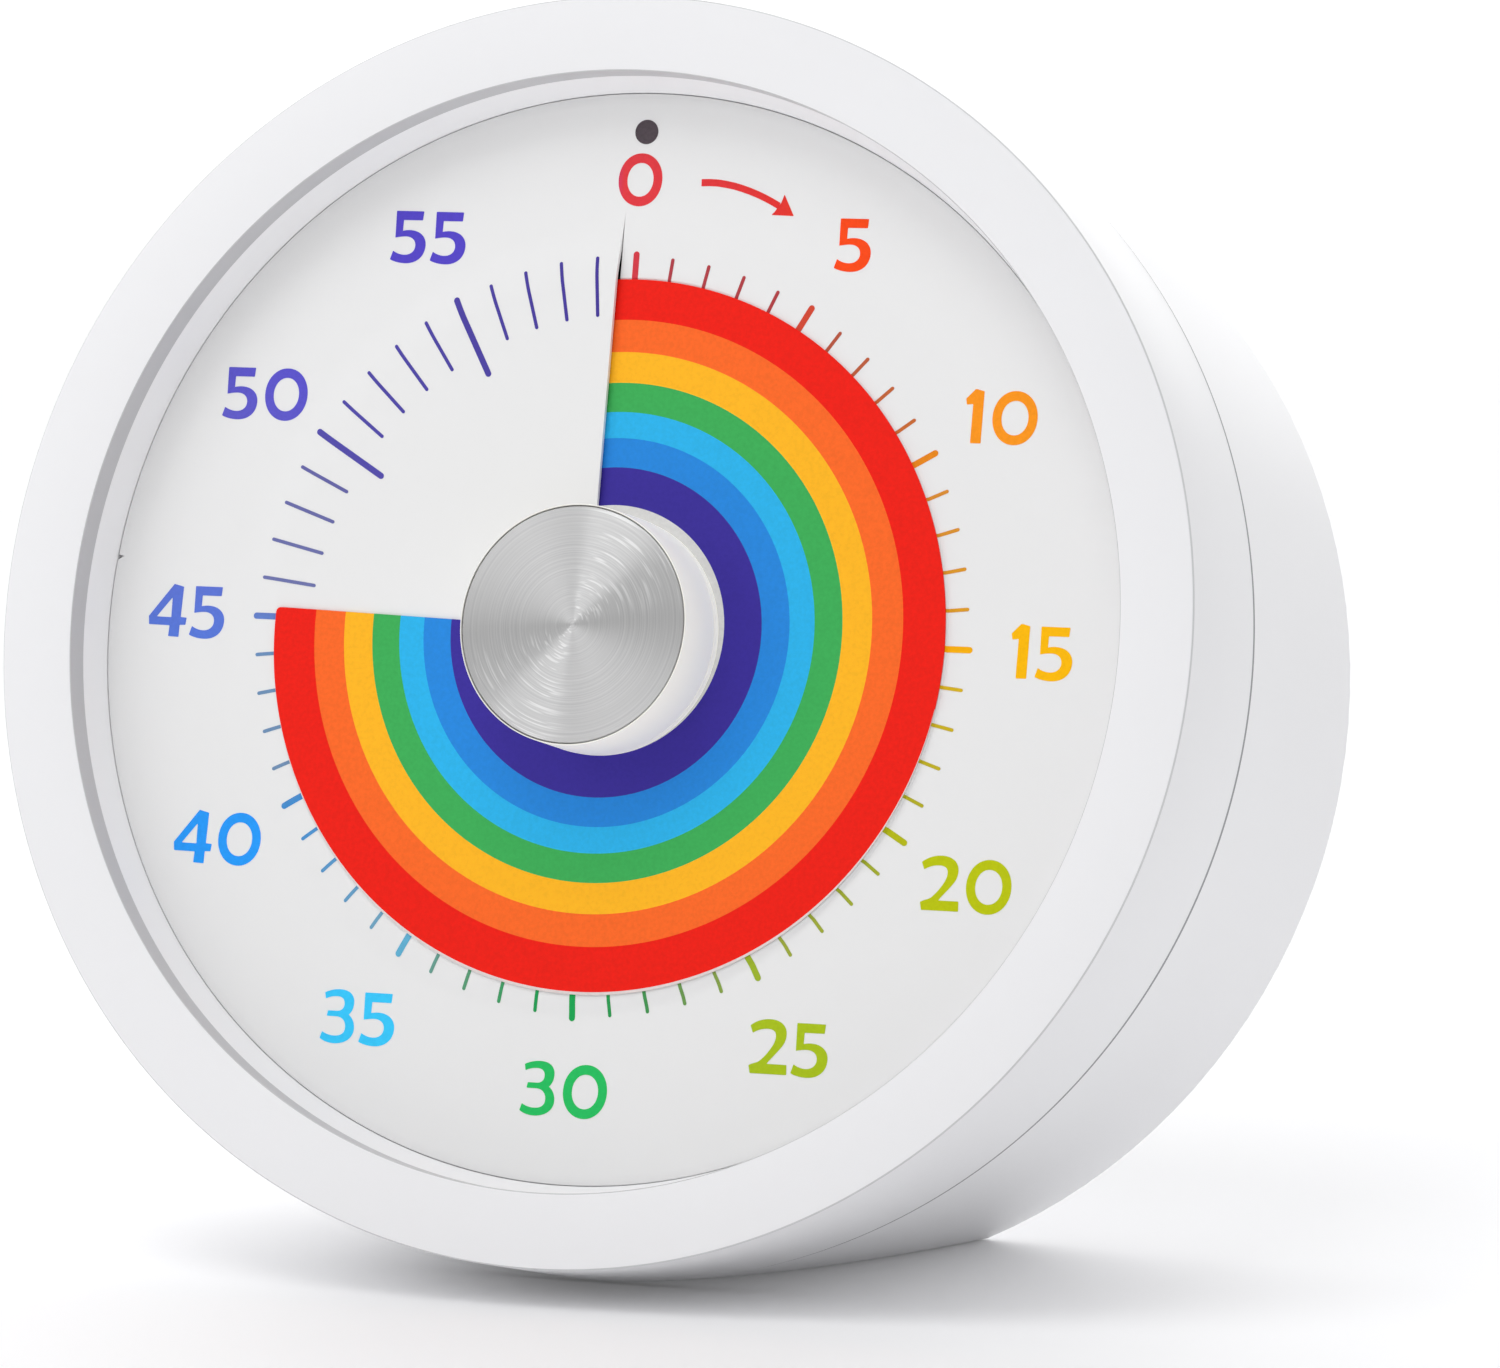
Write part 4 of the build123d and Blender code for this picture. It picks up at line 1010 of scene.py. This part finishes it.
BY_SLOT = {
    "case_white": CASE_WHITE, "knob_white": KNOB_WHITE, "steel": STEEL, "spring_steel": SPRING,
    "acetal": ACETAL, "ferrite": FERRITE, "inner_plastic": INNER, "bobbin": BOBBIN,
    "copper_wire": COPPER, "contact_brass": BRASS, "board": BOARD, "black_resin": RESIN,
    "crystal_can": CAN, "capacitor_sleeve": SLEEVE, "ceramic": CERAMIC, "cell_sleeve": CELL,
    "nickel_strip": NICKEL, "black_plastic": BLACK, "switch_grey": GREY, "screw_steel": SCREW,
    "pad_rubber": RUBBER}
for row in frame["record"]["subparts"]:
    node = frame["nodes"][row["node"]]
    mat = DOOR_WHITE if row["node"] == "battery_door" else BY_SLOT.get(row["material_slot"])
    if mat is None or node.hide_render:
        continue
    node.data.materials.clear()
    node.data.materials.append(mat)

# ---------------------------------------------------------------------------
# floor and light
# ---------------------------------------------------------------------------


def floor_material():
    m = Mat("studio_floor", Base_Color=(0.9, 0.9, 0.91, 1), Roughness=0.6)
    m.p.inputs["Emission Color"].default_value = (1.0, 1.0, 1.0, 1.0)
    m.p.inputs["Emission Strength"].default_value = 0.05
    m.p.inputs["Specular IOR Level"].default_value = 0.2
    m.bump(m.noise(700.0, 2.0), "Fac", 0.00001)
    return m.m


me = bpy.data.meshes.new("floor")
me.from_pydata([(-6, -6, 0), (6, -6, 0), (6, 6, 0), (-6, 6, 0)], [], [(0, 1, 2, 3)])
floor = bpy.data.objects.new("floor", me)
scene.collection.objects.link(floor)
me.materials.append(floor_material())

# a bright studio wall behind the timer, a dimmer room on the side that it faces
HORIZON, BACK, FRONT_LEFT, FRONT_RIGHT, TOP = 1.05, 0.97, 0.64, 0.48, 0.52
world = bpy.data.worlds.new("studio")
scene.world = world
world.use_nodes = True
wt = world.node_tree
bg = wt.nodes["Background"]
bg.inputs["Color"].default_value = (1.0, 1.0, 1.0, 1.0)
wc = wt.nodes.new("ShaderNodeTexCoord")
ws = wt.nodes.new("ShaderNodeSeparateXYZ")
wt.links.new(wc.outputs["Generated"], ws.inputs["Vector"])


def fade(axis, low, high):
    n = wt.nodes.new("ShaderNodeMapRange")
    n.interpolation_type = "SMOOTHSTEP"
    n.inputs["From Min"].default_value = low
    n.inputs["From Max"].default_value = high
    wt.links.new(ws.outputs[axis], n.inputs["Value"])
    return n


def blend(factor, a, b):
    n = wt.nodes.new("ShaderNodeMix")
    n.data_type = "FLOAT"
    wt.links.new(factor.outputs["Result"], n.inputs["Factor"])
    for socket, v in (("A", a), ("B", b)):
        if isinstance(v, float):
            n.inputs[socket].default_value = v
        else:
            wt.links.new(v.outputs["Result"], n.inputs[socket])
    return n


front = blend(fade("X", -0.35, 0.35), FRONT_LEFT, FRONT_RIGHT)
back = blend(fade("Z", 0.03, 0.12), HORIZON, BACK)
around = blend(fade("Y", -0.35, 0.45), front, back)
sky = blend(fade("Z", 0.45, 0.95), around, TOP)
wt.links.new(sky.outputs["Result"], bg.inputs["Strength"])


def area(name, towards, distance, size, power, aim=(0.0, 0.0, 0.035)):
    """Square softbox in the direction given, facing the timer. Metres, watts."""
    at = Vector(aim) + Vector(towards).normalized() * distance
    data = bpy.data.lights.new(name, "AREA")
    data.shape = "RECTANGLE"
    data.size, data.size_y = size
    data.energy = power
    ob = bpy.data.objects.new(name, data)
    scene.collection.objects.link(ob)
    ob.location = at
    ob.rotation_mode = "QUATERNION"
    ob.rotation_quaternion = (Vector(aim) - at).to_track_quat("-Z", "Y")
    return ob


def from_dial(x, y, z):
    """A direction of the dial frame, in the world."""
    return (x, SN * y - CS * z, CS * y + SN * z)


area("overhead", from_dial(-0.07, 0.76, 0.64), 0.9, (0.5, 0.5), 1.9)
area("right", from_dial(0.31, 0.50, 0.80), 0.9, (0.5, 0.5), 0.45)
area("left", from_dial(-0.6, 0.35, 0.72), 0.9, (0.5, 0.5), 1.0)

# a wide softbox over the far part of the sweep, out of sight
area("sweep", (-0.3, 0.62, 0.73), 2.6, (5.0, 4.0), 58.0, aim=(0.0, 1.2, 0.0))
